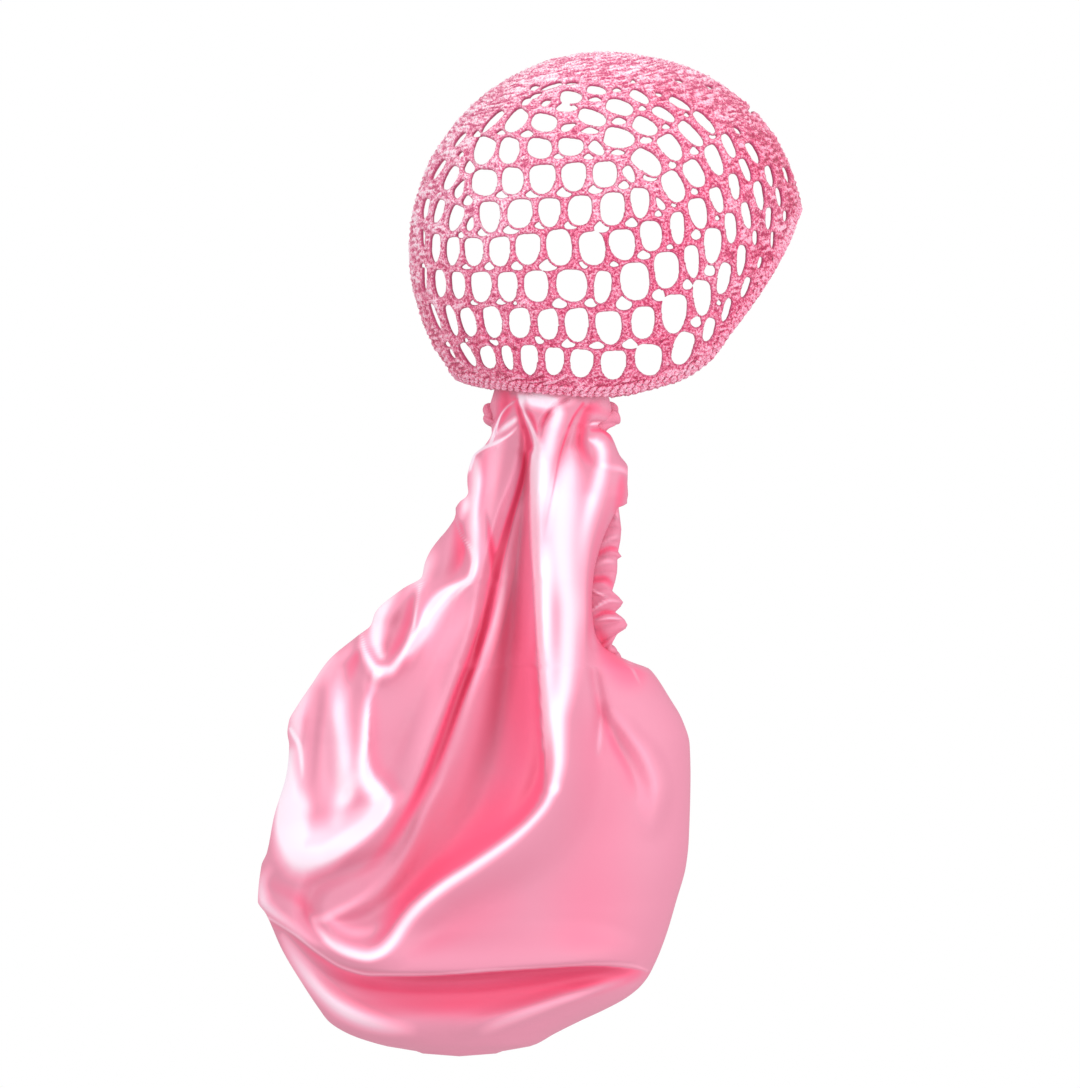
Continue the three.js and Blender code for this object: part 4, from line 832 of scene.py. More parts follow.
# The head form and the crochet's rounds.

rim_reach = column(RIM_EDGE, 1)


def rim_at(around):
    """Degrees from the crown to the rim's lower edge, the same on both sides of the head."""
    return rim_reach(np.abs((around + 180) % 360 - 180))


def head_point(reach, around, proud=0.0):
    """Points of the head form, from degrees off the crown, degrees round and millimetres proud."""
    lean = math.radians(CROWN_LEAN)
    a, b = np.radians(reach), np.radians(around)
    up, forward, ear = np.cos(a), np.sin(a) * np.cos(b), np.sin(a) * np.sin(b)
    way = np.stack([
        forward * math.cos(lean) - up * math.sin(lean),
        -ear,
        forward * math.sin(lean) + up * math.cos(lean),
    ], axis=-1)
    points = way * (HEAD_HALF + np.asarray(proud, float)[..., None])
    points[..., 2] -= SEAT_HEIGHT
    return points


def head_normal(points):
    centred = points + np.array([0, 0, SEAT_HEIGHT])
    normals = centred / np.square(HEAD_HALF)
    return normals / np.linalg.norm(normals, axis=-1, keepdims=True)


class Yarn:
    """Strands of fuzzy yarn that lie on the head form, gathered into one mesh."""

    def __init__(self, seed):
        self.random = np.random.default_rng(seed)
        self.points = []
        self.faces = []
        self.streaks = []
        self.count = 0

    def strand(self, line, across, through, sides=8, closed=False, painted_highlight=0.0):
        """One strand along a line of points, with half sizes across and through the fabric."""
        line = np.asarray(line, float)
        if closed:
            along = np.roll(line, -1, axis=0) - np.roll(line, 1, axis=0)
        else:
            along = np.gradient(line, axis=0)
        along /= np.linalg.norm(along, axis=1, keepdims=True)
        out = head_normal(line)
        side = np.cross(along, out)
        side /= np.linalg.norm(side, axis=1, keepdims=True)
        turn = 2 * np.pi * np.arange(sides) / sides
        across = np.broadcast_to(across, len(line))[:, None, None]
        through = np.broadcast_to(through, len(line))[:, None, None]
        fuzz = 1 + self.random.normal(0, FUZZ, (len(line), sides, 1))
        ring = side[:, None] * np.cos(turn)[None, :, None] * across
        ring = ring + out[:, None] * np.sin(turn)[None, :, None] * through
        self.points.append((line[:, None] + ring * fuzz).reshape(-1, 3))
        base = self.count + np.arange(len(line) * sides).reshape(len(line), sides)
        rings = np.vstack([base, base[:1]]) if closed else base
        here, there = rings[:-1], rings[1:]
        quads = np.stack([here, np.roll(here, -1, 1), np.roll(there, -1, 1), there], axis=-1)
        self.faces.extend(quads.reshape(-1, 4).tolist())
        if not closed:
            self.faces.append(base[0][::-1].tolist())
            self.faces.append(base[-1].tolist())
        self.count += len(line) * sides
        self.streaks.append(np.repeat(np.broadcast_to(painted_highlight, len(line)), sides))

    def piece(self, name, material, depth=1.0):
        made = mesh_piece(name, np.vstack(self.points), self.faces, material)
        point_values(made, "yarn_depth", np.full(self.count, depth))
        point_values(made, "yarn_mottle_and_highlight", np.concatenate(self.streaks))
        return made


def lattice_noise(points, size, seed):
    """Smooth noise from -1 to 1 at points, with features of about one size."""
    table = np.random.default_rng(seed).uniform(-1, 1, (LATTICE,) * 3)
    place = points / size
    low = np.floor(place).astype(int)
    share = place - low
    share = share * share * (3 - 2 * share)
    total = np.zeros(points.shape[:-1])
    for corner in np.ndindex(2, 2, 2):
        at = (low + corner) % LATTICE
        weight = np.prod(np.where(corner, share, 1 - share), axis=-1)
        total += weight * table[at[..., 0], at[..., 1], at[..., 2]]
    return total


def chart_ways(chart):
    """Unit ways from the head's middle for places on the flat chart of its near side."""
    turn = np.hypot(chart[..., 0], chart[..., 1]) / CHART
    share = np.sin(turn) / np.maximum(turn, 1e-9) / CHART
    return np.stack([chart[..., 0] * share, -np.cos(turn), chart[..., 1] * share], axis=-1)


def chart_places(pixels):
    """Places on the flat chart for places in the photograph."""
    x, z = model_place(pixels[..., 0], pixels[..., 1])
    x, z = x / HEAD_HALF[0], (z + SEAT_HEIGHT) / HEAD_HALF[2]
    off = np.hypot(x, z)
    turn = np.arcsin(np.minimum(off, 1)) * CHART / off
    return np.stack([x * turn, z * turn], axis=-1)


def camera_place():
    """The camera's place in millimetres."""
    x, z = model_place(FRAME_PIXELS[0] / 2, FRAME_PIXELS[1] / 2)
    return np.array([x, -CAMERA_DISTANCE / MM, z])


def far_ways(ways):
    """The ways to the places on the head's far side that the near ones hide from the camera."""
    eye = (camera_place() + np.array([0, 0, SEAT_HEIGHT])) / HEAD_HALF
    sight = ways - eye
    along = (ways * sight).sum(axis=-1) / (sight * sight).sum(axis=-1)
    return ways - 2 * along[..., None] * sight


def crown_angles(ways):
    """Degrees off the crown and degrees round from the forehead, as head_point takes them."""
    lean = math.radians(CROWN_LEAN)
    forward = ways[..., 0] * math.cos(lean) + ways[..., 2] * math.sin(lean)
    up = ways[..., 2] * math.cos(lean) - ways[..., 0] * math.sin(lean)
    return np.degrees(np.arccos(np.clip(up, -1, 1))), np.degrees(np.arctan2(-ways[..., 1], forward))


def hole_outline(x, y, width, height, lean, high, low, growth, taper, random):
    """An opening's outline in the photograph's pixels, rounded high and low and a little uneven."""
    turn = 2 * np.pi * np.arange(HOLE_POINTS) / HOLE_POINTS
    power = np.where(np.sin(turn) > 0, 2 / low, 2 / high)
    across = np.sign(np.cos(turn)) * np.abs(np.cos(turn)) ** power * (1 + taper * np.sin(turn))
    down = np.sign(np.sin(turn)) * np.abs(np.sin(turn)) ** power
    first, second = random.uniform(0, 2 * np.pi, 2)
    twice, thrice = np.sin(2 * turn + first), np.sin(3 * turn + second)
    uneven = 1 + HOLE_UNEVEN[0] * twice + HOLE_UNEVEN[1] * thrice
    across *= uneven * (width + growth) / 2
    down *= uneven * (height + growth) / 2
    c, s = math.cos(math.radians(lean)), math.sin(math.radians(lean))
    return np.stack([x + across * c + down * s, y - across * s + down * c], axis=-1)


def outline_distance(points, outline):
    """How far points lie outside a closed outline, negative inside it."""
    start, end = outline, np.roll(outline, -1, axis=0)
    side = end - start
    off = points[:, None] - start
    share = np.clip((off * side).sum(axis=-1) / (side * side).sum(axis=-1), 0, 1)
    gap = np.linalg.norm(off - share[..., None] * side, axis=-1).min(axis=1)
    level = points[:, None, 1]
    spans = (start[:, 1] > level) != (end[:, 1] > level)
    rise = np.where(side[:, 1] == 0, 1, side[:, 1])
    crossing = start[:, 0] + side[:, 0] * (level - start[:, 1]) / rise
    inside = (spans & (points[:, None, 0] < crossing)).sum(axis=1) % 2 == 1
    return np.where(inside, -gap, gap)


def fabric_field(step):
    """The flat chart's grid, how far each place is inside the fabric, and inside the near side."""
    half = CHART * math.pi / 2
    line = np.arange(-half - step, half + 2 * step, step)
    chart = np.stack(np.meshgrid(line, line, indexing="ij"), axis=-1)
    ways = chart_ways(chart)
    reach, around = crown_angles(ways)
    cloth = np.radians(rim_at(around) - reach) * HEAD_HALF[2] - RIM_TUCK
    cloth = np.minimum(cloth, FIELD_REACH)
    random = np.random.default_rng(SEED)
    hole_shape = (HOLE_ROUND_HIGH, HOLE_ROUND_LOW, HOLE_GROWTH, 0, random)
    gap_shape = (GAP_ROUND, GAP_ROUND, GAP_GROWTH, GAP_TAPER, random)
    openings = [(*hole, *hole_shape) for hole in NET_HOLES]
    openings += [(*gap, *gap_shape) for gap in NET_GAPS]
    for opening in openings:
        outline = chart_places(hole_outline(*opening))
        low = np.searchsorted(line, outline.min(axis=0) - FIELD_REACH)
        high = np.searchsorted(line, outline.max(axis=0) + FIELD_REACH)
        window = (slice(low[0], high[0]), slice(low[1], high[1]))
        places = chart[window]
        distance = outline_distance(places.reshape(-1, 2), outline).reshape(places.shape[:2])
        cloth[window] = np.minimum(cloth[window], distance)
    cloth += EDGE_ROUGH * lattice_noise(ways * HEAD_HALF[2], EDGE_ROUGH_SIZE, SEED)
    return chart, cloth, half - np.hypot(chart[..., 0], chart[..., 1])


def cut_grid(chart, cloth, near):
    """The part of the grid inside the fabric: chart places, depths inside the fabric, and faces."""
    field = np.minimum(cloth, near)
    keep = field > 0
    count = int(keep.sum())
    number = np.full(keep.shape, -1)
    number[keep] = np.arange(count)
    places, depths = [chart[keep]], [cloth[keep]]
    crossings = []
    for step in ((1, 0), (0, 1)):
        first = (slice(0, keep.shape[0] - step[0]), slice(0, keep.shape[1] - step[1]))
        second = (slice(step[0], None), slice(step[1], None))
        cut = keep[first] != keep[second]
        share = field[first][cut] / (field[first][cut] - field[second][cut])
        place = chart[first][cut] + share[:, None] * (chart[second][cut] - chart[first][cut])
        depth = cloth[first][cut] + share * (cloth[second][cut] - cloth[first][cut])
        numbers = np.full(keep.shape, -1)
        numbers[first][cut] = count + np.arange(len(share))
        count += len(share)
        places.append(place)
        depths.append(np.maximum(depth, 0))
        crossings.append(numbers)
    along, up = crossings
    corners = [keep[:-1, :-1], keep[1:, :-1], keep[1:, 1:], keep[:-1, 1:]]
    filled = sum(corner.astype(int) for corner in corners)
    i, j = np.nonzero(filled == 4)
    faces = np.stack([number[i, j], number[i + 1, j], number[i + 1, j + 1], number[i, j + 1]], -1)
    faces = faces.tolist()
    for i, j in zip(*np.nonzero((filled > 0) & (filled < 4))):
        ring = [
            number[i, j], along[i, j], number[i + 1, j], up[i + 1, j],
            number[i + 1, j + 1], along[i, j + 1], number[i, j + 1], up[i, j],
        ]
        face = [int(v) for v in ring if v >= 0]
        if len(face) > 2:
            faces.append(face)
    return np.vstack(places), np.concatenate(depths), faces


def fabric_sink(ways):
    """How far the fabric's middle lies inside the head form: it stands out over the brow."""
    angle = np.degrees(np.arctan2(ways[..., 2], ways[..., 0])) - BROW_ANGLE
    rise = np.clip(1 - (angle / BROW_SPREAD) ** 2, 0, 1) ** 2
    return YARN_SINK - BROW_PROUD * rise * (1 - ways[..., 1] ** 2)


def net_side(step, turned):
    """The crochet fabric over one side of the head: its points, its faces and its depths."""
    places, depths, faces = cut_grid(*fabric_field(step))
    ways = turned(chart_ways(places))
    inner = np.clip(depths / YARN_ROUND, 0, 1)
    body = np.sqrt(1 - (1 - inner) ** 2)
    even = ways * HEAD_HALF[2]
    reach, around = crown_angles(ways)
    wander = ROW_WANDER * lattice_noise(even, ROW_WANDER_SIZE, SEED + 1)
    run = np.radians(reach) * HEAD_HALF[2] + wander
    along = np.radians(around) * HEAD_HALF[2] * np.sin(np.radians(reach))
    wide = smoothstep(depths, ROWS_FROM, ROWS_WHOLE)
    flow = np.stack([run / STREAK_SIZE[0], along / STREAK_SIZE[1], np.zeros(len(run))], axis=-1)
    rows = np.cos(2 * np.pi * run / ROW_PITCH)
    stitches = np.cos(2 * np.pi * along / STITCH_PITCH + np.pi * np.floor(run / ROW_PITCH))
    streaks = lattice_noise(flow, 1, SEED + 5)
    relief = wide * (ROW_RELIEF * rows + STITCH_RELIEF * stitches + STREAK_RELIEF * streaks)
    for height, size, seed in LUMPS:
        relief += height * lattice_noise(even, size, SEED + seed)
    height, size, seed = DENSE_LUMPS
    relief += height * wide * lattice_noise(even, size, SEED + seed)
    middle = HEAD_HALF - fabric_sink(ways)[:, None]
    outer = ways * (middle + (body * (YARN_HALF + relief))[:, None])
    inner_side = ways * (middle - (body * YARN_HALF)[:, None])
    for side in (outer, inner_side):
        side[:, 2] -= SEAT_HEIGHT
    welded = depths < WELDED
    numbers = np.arange(len(places))
    numbers[~welded] = len(places) + np.arange(int((~welded).sum()))
    points = np.vstack([outer, inner_side[~welded]])
    layers = faces + [numbers[face[::-1]].tolist() for face in faces]
    depth_looks = np.minimum(depths / YARN_ROUND, DEEPEST)
    # The looks: depth inside the fabric, for the painted edge shade, and the streaks with the rows, partly
    # the yarn's own mottle and partly painted highlight where they stand out.
    looks = np.stack([depth_looks, wide * (streaks + ROW_HIGHLIGHT * rows)], axis=-1)
    return points, layers, np.vstack([looks, looks[~welded]])


def net_threads(material):
    """The thin thread under each opening, from the foot of one tall stitch to the next."""
    yarn = Yarn(SEED + 6)
    random = np.random.default_rng(SEED)
    for hole in NET_HOLES:
        outline = hole_outline(*hole, HOLE_ROUND_HIGH, HOLE_ROUND_LOW, THREAD_GROWTH, 0, random)
        if hole[2] < THREAD_FROM_WIDTH:
            continue
        low = chart_places(outline[1:HOLE_POINTS // 2 + 1])
        at = np.linspace(0, len(low) - 1, THREAD_POINTS)
        dense = np.stack([np.interp(at, np.arange(len(low)), values) for values in low.T], axis=-1)
        near = chart_ways(dense)
        for ways in (near, far_ways(near)):
            line = ways * (HEAD_HALF - fabric_sink(ways)[:, None] + THREAD_OUT)
            line[:, 2] -= SEAT_HEIGHT
            yarn.strand(line, THREAD_HALF, THREAD_HALF, sides=THREAD_SIDES)
    return yarn.piece("net_threads", material, depth=THREAD_DEPTH)


def net_piece(name, points, faces, looks, material):
    """One mesh of the net from some of a side's faces, with its points' depths and streaks."""
    used = np.unique(np.concatenate(faces))
    number = np.full(len(points), -1)
    number[used] = np.arange(len(used))
    piece = mesh_piece(name, points[used], [number[face].tolist() for face in faces], material)
    for look, values in zip(("yarn_depth", "yarn_mottle_and_highlight"), looks[used].T):
        point_values(piece, look, values)
    return piece


def net_pieces(material):
    """The net's near side in three pieces, and its far side, which mirrors it more coarsely."""
    points, faces, looks = net_side(NEAR_STEP, np.asarray)
    third = [np.searchsorted(NET_SPLITS, points[face[0]][0]) for face in faces]
    near = []
    for i, name in enumerate(("left", "middle", "right")):
        own_faces = [face for face, own in zip(faces, third) if own == i]
        near.append(net_piece(f"net_near_{name}", points, own_faces, looks, material))
    far_points, far_faces, far_looks = net_side(FAR_STEP, far_ways)
    far_faces = [face[::-1] for face in far_faces]
    return near + [
        net_piece("net_far", far_points, far_faces, far_looks, material),
        net_threads(material),
    ]


def rim_band(material):
    """The dense band of stitches that ends the net, in rows of two plies that twist together."""
    yarn = Yarn(SEED + 5)
    around = np.linspace(0, 360, RIM_POINTS, endpoint=False)
    for row, height in enumerate(RIM_ROWS):
        reach = rim_at(around) - np.degrees(height / HEAD_HALF[2])
        line = head_point(reach, around)
        length = np.linalg.norm(np.diff(line, axis=0, append=line[:1]), axis=1)
        run = np.cumsum(length)
        twists = round(run[-1] / (2 * STITCH))
        turn = 2 * np.pi * twists * run / run[-1] + row * RIM_ROW_TURN
        out = head_normal(line)
        along = np.roll(line, -1, axis=0) - np.roll(line, 1, axis=0)
        side = np.cross(along / np.linalg.norm(along, axis=1, keepdims=True), out)
        for ply in (0, np.pi):
            wound = line + PLY_WIND[0] * side * np.cos(turn + ply)[:, None]
            wound += PLY_WIND[1] * out * np.sin(turn + ply)[:, None]
            # A painted highlight: each ply is lighter where it comes outward and darker where it turns
            # under.
            painted_highlight = PLY_HIGHLIGHT * np.sin(turn + ply)
            yarn.strand(wound, *PLY_HALF, sides=PLY_SIDES, closed=True, painted_highlight=painted_highlight)
    return yarn.piece("rim_crochet", material)


# The satin bag.

bag_left = column(BAG_LEFT, 1)
bag_right = column(BAG_RIGHT, 1)
bag_front = column(BAG_DEPTHS, 1)
bag_back = column(BAG_DEPTHS, 2)
bag_sag = column(BAG_DEPTHS, 3)


def inside_of_band(x, z):
    """The y of the band's inner side, where the bag's neck lies against it."""
    inside = NET_WALL + NECK_CLEARANCE
    level = np.maximum(z, NECK_LEVEL) + SEAT_HEIGHT
    half = HEAD_HALF - inside
    left_over = 1 - (x / half[0]) ** 2 - (level / half[2]) ** 2
    return -half[1] * np.sqrt(np.maximum(left_over, NECK_END))


def bag_base(u, z):
    """The bag's round form: u runs from its right edge over the front to its left, and back."""
    left, right = bag_left(z), bag_right(z)
    x = (left + right) / 2 + (right - left) / 2 * np.cos(np.pi * u)
    round_out = np.abs(np.sin(np.pi * u)) ** BAG_ROUNDNESS
    front = bag_front(z)
    gathered = smoothstep(z, GATHERED[1], GATHERED[0])
    middle = BAG_MIDDLE * (1 - gathered) + (inside_of_band(x, z) + front) * gathered
    on_back = u > 1
    y = middle + np.where(on_back, bag_back(z), -front) * round_out
    sink = np.where(on_back, bag_sag(z) * np.abs(np.sin(np.pi * u)), 0)
    return np.stack([x, y, z - sink], axis=-1)


def dense_path(rows):
    """A fold's smooth line through its places, and its stand and reaches along it."""
    rows = np.array(rows, float)
    steps = np.hypot(*np.diff(rows[:, :2], axis=0).T)
    run = np.concatenate([[0], np.cumsum(steps)])
    at = np.linspace(0, run[-1], max(PATH_POINTS, int(run[-1] / PATH_STEP)))
    return np.stack([curve_through(run, rows[:, i])(at) for i in range(rows.shape[1])], axis=-1)


def fold_relief(x, z, rows):
    """How far one fold stands out at each place of the front."""
    path = dense_path(rows)
    best = np.full(x.shape, np.inf)
    relief = np.zeros(x.shape)
    for a, b in zip(path[:-1], path[1:]):
        step = b[:2] - a[:2]
        t = ((x - a[0]) * step[0] + (z - a[1]) * step[1]) / (step @ step)
        t = np.clip(t, 0, 1)
        dx, dz = x - a[0] - t * step[0], z - a[1] - t * step[1]
        distance = np.hypot(dx, dz)
        nearer = distance < best
        best = np.where(nearer, distance, best)
        right = step[0] * dz - step[1] * dx > 0
        stand = a[2] + t * (b[2] - a[2])
        reach = np.where(right, a[3] + t * (b[3] - a[3]), a[4] + t * (b[4] - a[4]))
        bell = np.clip(1 - (distance / reach) ** 2, 0, 1) ** 3
        relief = np.where(nearer, stand * bell, relief)
    return relief


def fold_places(rows):
    """A fold's rows with their places in millimetres, from ones in the photograph's pixels."""
    return [
        (*(round(place / FOLD_STEP) * FOLD_STEP for place in model_place(x, y)), stand, right, left)
        for x, y, stand, right, left in rows
    ]


def in_millimetres(rows):
    """A stroke's places and reaches in millimetres, from ones in the photograph's pixels."""
    return [
        (*model_place(x, y), tone, right * MM_PER_PIXEL, left * MM_PER_PIXEL)
        for x, y, tone, right, left in rows
    ]


def smoothed(grid, times):
    for _ in range(times):
        padded = np.pad(grid, 1, mode="edge")
        grid = (padded[:-2, 1:-1] + padded[2:, 1:-1] + padded[1:-1, :-2] + padded[1:-1, 2:]
                + 4 * padded[1:-1, 1:-1]) / 8
    return grid


def bag_grid():
    """The bag's points by row and column, and the tone of painted highlight and shade at each one."""
    top, bottom = BAG_DEPTHS[0][0], BAG_DEPTHS[-1][0]
    z = np.linspace(top, bottom, ROW_SAMPLES * BAG_ROWS)
    closeness = 1 + sum(share * np.exp(-((z - level) / reach) ** 2) for level, reach, share in ROW_CROWDS)
    share = np.cumsum(closeness)
    z = np.interp(np.linspace(share[0], share[-1], BAG_ROWS), share, z)
    front_u = np.arange(FRONT_COLUMNS) / FRONT_COLUMNS
    back_u = 1 + np.arange(BACK_COLUMNS) / BACK_COLUMNS
    u, z = np.meshgrid(np.concatenate([front_u, back_u]), z)
    points = bag_base(u, z)
    for puff, distance in ((RIGHT_PUFF, np.minimum(u, 2 - u)), (LEFT_PUFF, np.abs(u - 1))):
        levels, stands = np.array(puff[::-1]).T
        stand = np.interp(points[..., 2], levels, stands)
        points[..., 0] += stand * np.clip(1 - distance / PUFF_WIDTH, 0, 1) ** 2
    front = slice(0, FRONT_COLUMNS + 1)
    x, zs = points[:, front, 0], points[:, front, 2]
    relief = sum(fold_relief(x, zs, fold_places(rows)) for rows in FOLDS.values())
    edge = smoothstep(np.abs(np.sin(np.pi * u[:, front])), 0, FOLD_EDGE)
    relief = smoothed(relief, FOLD_SMOOTHING) * edge
    points[:, front, 1] -= relief
    # Painted highlights and painted shade: the strokes' tone, kept to -1 to 1, for the satin's colour.
    tone = np.zeros(u.shape)
    painted = sum(fold_relief(x, zs, in_millimetres(rows)) for rows in PAINTED_HIGHLIGHT_AND_SHADE.values())
    tone[:, front] = smoothed(np.clip(painted, -1, 1), 1)
    return points, tone, u


def satin_bag(material):
    """The bag's cloth, closed above and below and open at its mouth, with its painted highlights and shade.
    """
    points, tone, u = bag_grid()
    rows, columns = u.shape
    index = np.arange(rows * columns).reshape(rows, columns)
    right = np.roll(index, -1, axis=1)
    quads = np.stack([index[:-1], index[1:], right[1:], right[:-1]], axis=-1)
    z = points[:-1, :, 2]
    on_back = u[:-1] >= 1
    open_mouth = on_back & (z < MOUTH[0]) & (z > MOUTH[1])
    faces = quads[~open_mouth].tolist()
    flat = points.reshape(-1, 3)
    closing = []
    for row, flip in ((0, False), (rows - 1, True)):
        centre = points[row].mean(axis=0)
        if flip:
            centre[2] -= BOTTOM_DROP
        flat = np.vstack([flat, centre])
        centre_index = len(flat) - 1
        ring = index[row]
        for a, b in zip(ring, np.roll(ring, -1)):
            closing.append([int(b), int(a), centre_index] if flip else [int(a), int(b), centre_index])
    bag = mesh_piece("satin_bag_cloth", flat, faces + closing, material)
    point_values(bag, "painted_light_tone", np.concatenate([tone.ravel(), [0, 0]]))
    return bag


def mouth_line():
    """The edge of the bag's mouth: down its right, along its back, up its left and over the neck."""
    down = np.linspace(MOUTH[0], MOUTH[1], MOUTH_SIDE_POINTS)
    back = np.linspace(2, 1, MOUTH_WIDTH_POINTS)
    low = np.full(len(back), float(MOUTH[1]))
    high = np.full(len(back), float(MOUTH[0]))
    line = np.concatenate([
        bag_base(np.zeros(len(down)), down)[:-1],
        bag_base(back, low)[1:-1],
        bag_base(np.ones(len(down)), down)[::-1][:-1],
        bag_base(back[::-1], high)[1:-1],
    ])
    run = np.concatenate([[0], np.cumsum(np.linalg.norm(np.diff(line, axis=0, append=line[:1]), axis=1))])
    at = np.linspace(0, run[-1], int(run[-1] / CASING_STEP), endpoint=False)
    line = np.stack([np.interp(at, run, np.append(line[:, i], line[0, i])) for i in range(3)], axis=-1)
    return rolling(line, MOUTH_ROLLING)


def rolling(values, reach):
    """Values of a closed line, each made the mean of its neighbours, twice."""
    for _ in range(2):
        values = sum(np.roll(values, shift, axis=0) for shift in range(-reach, reach + 1))
        values = values / (2 * reach + 1)
    return values


def ruches(run, random):
    """Rounded puffs with narrow creases along a line, in uneven lengths."""
    ends = [0]
    while ends[-1] < run[-1]:
        ends.append(ends[-1] + RUCHE * random.uniform(*RUCHE_LENGTHS))
    ends = np.array(ends) * run[-1] / ends[-1]
    return np.abs(np.sin(np.pi * np.interp(run, ends, np.arange(len(ends))))) ** RUCHE_FULL


def satin_casing(material):
    """The gathered casing round the bag's mouth, with the elastic inside it."""
    line = mouth_line()
    count = len(line)
    middle = line.mean(axis=0)
    along = np.roll(line, -2, axis=0) - np.roll(line, 2, axis=0)
    along /= np.linalg.norm(along, axis=1, keepdims=True)
    level = line[:, 2]
    at_side = smoothstep(level, MOUTH[1] + SIDE_OVER_LOW[0], MOUTH[1] + SIDE_OVER_LOW[1])
    at_side *= 1 - smoothstep(level, MOUTH[0] - SIDE_UNDER_HIGH[1], MOUTH[0] - SIDE_UNDER_HIGH[0])
    at_right = (at_side * (line[:, 0] > middle[0]))[:, None]
    at_left = (at_side * (line[:, 0] <= middle[0]))[:, None]
    out = line - middle
    out[:, 1] = 0
    out = out * (1 - at_right) + np.array([RIGHT_TURN, 0, 0]) * at_right
    out -= (out * along).sum(axis=1, keepdims=True) * along
    out /= np.linalg.norm(out, axis=1, keepdims=True)
    back = np.cross(along, out)
    back *= np.sign(back[:, 1:2])

    edge_y, edge_x = np.array(CASING_OUT, float).T
    x, z = model_place(edge_x, edge_y)
    edge = np.interp(-level, -z, x)
    inner = bag_right(level) - RIGHT_INSIDE
    half = np.full(count, CASING_HALF[0])
    half = half * (1 - at_right[:, 0]) + (edge - inner) / 2 * at_right[:, 0]
    shift = np.zeros((count, 3))
    shift[:, 0] = at_right[:, 0] * ((edge + inner) / 2 - line[:, 0])
    shift[:, 0] += at_left[:, 0] * (CASING_HALF[0] + LEFT_INSIDE)
    shift[:, 1] = SIDES_BACK * (at_right + at_left)[:, 0]
    centre = line + shift
    hidden = bag_left(level + CASING_HALF[0]) + CASING_HALF[0] + HIDDEN_INSIDE
    low = level < NECK_LEVEL - HIDDEN_BELOW_NECK
    centre[:, 0] = np.where(low, np.maximum(centre[:, 0], hidden), centre[:, 0])
    at_top = smoothstep(level, MOUTH[0] - TOP_UNDER_HIGH[1], MOUTH[0] - TOP_UNDER_HIGH[0])
    half = half * (1 + TOP_SWELL * at_top)
    puffs = ruches(np.arange(count) * CASING_STEP, np.random.default_rng(SEED + 11))

    around = np.linspace(0, 2 * np.pi, CASING_SIDES, endpoint=False)
    grid = np.zeros((count, len(around), 3))
    for i, angle in enumerate(around):
        slant = RUCHE_SLANT * np.sin(angle * 2)
        puff = np.roll(puffs, int(slant / CASING_STEP)) - RUCHE_EVEN
        wide = half * (1 + RUCHE_WIDER * puff * (1 - at_right[:, 0]))
        thick = CASING_HALF[1] * (1 + RUCHE_THICKER * puff)
        grid[:, i] = centre + wide[:, None] * np.cos(angle) * out
        grid[:, i] += thick[:, None] * np.sin(angle) * back
    # The creases' tone, painted as highlights and shade on the casing's front and raising it there.
    tone = sum(fold_relief(grid[:, :, 0], grid[:, :, 2], in_millimetres(rows))
               for rows in CASING_PAINTED_CREASES.values())
    facing = np.clip(-np.sin(around), 0, 1)[None, :] * at_right
    tone = tone * facing
    grid[:, :, 1] -= CASING_RELIEF * tone
    index = np.arange(count * len(around)).reshape(count, len(around))
    beside = np.roll(index, -1, axis=1)
    quads = np.stack([index, beside, np.roll(beside, -1, axis=0), np.roll(index, -1, axis=0)], axis=-1)
    faces = quads.reshape(-1, 4).tolist()
    casing = mesh_piece("satin_casing", grid.reshape(-1, 3), faces, material)
    # Painted shade over the whole casing, darker than the bag's front.
    point_values(casing, "painted_light_tone", np.clip(tone - CASING_PAINTED_SHADE, -1, 1).ravel())
    return casing


# Materials, all made of nodes.


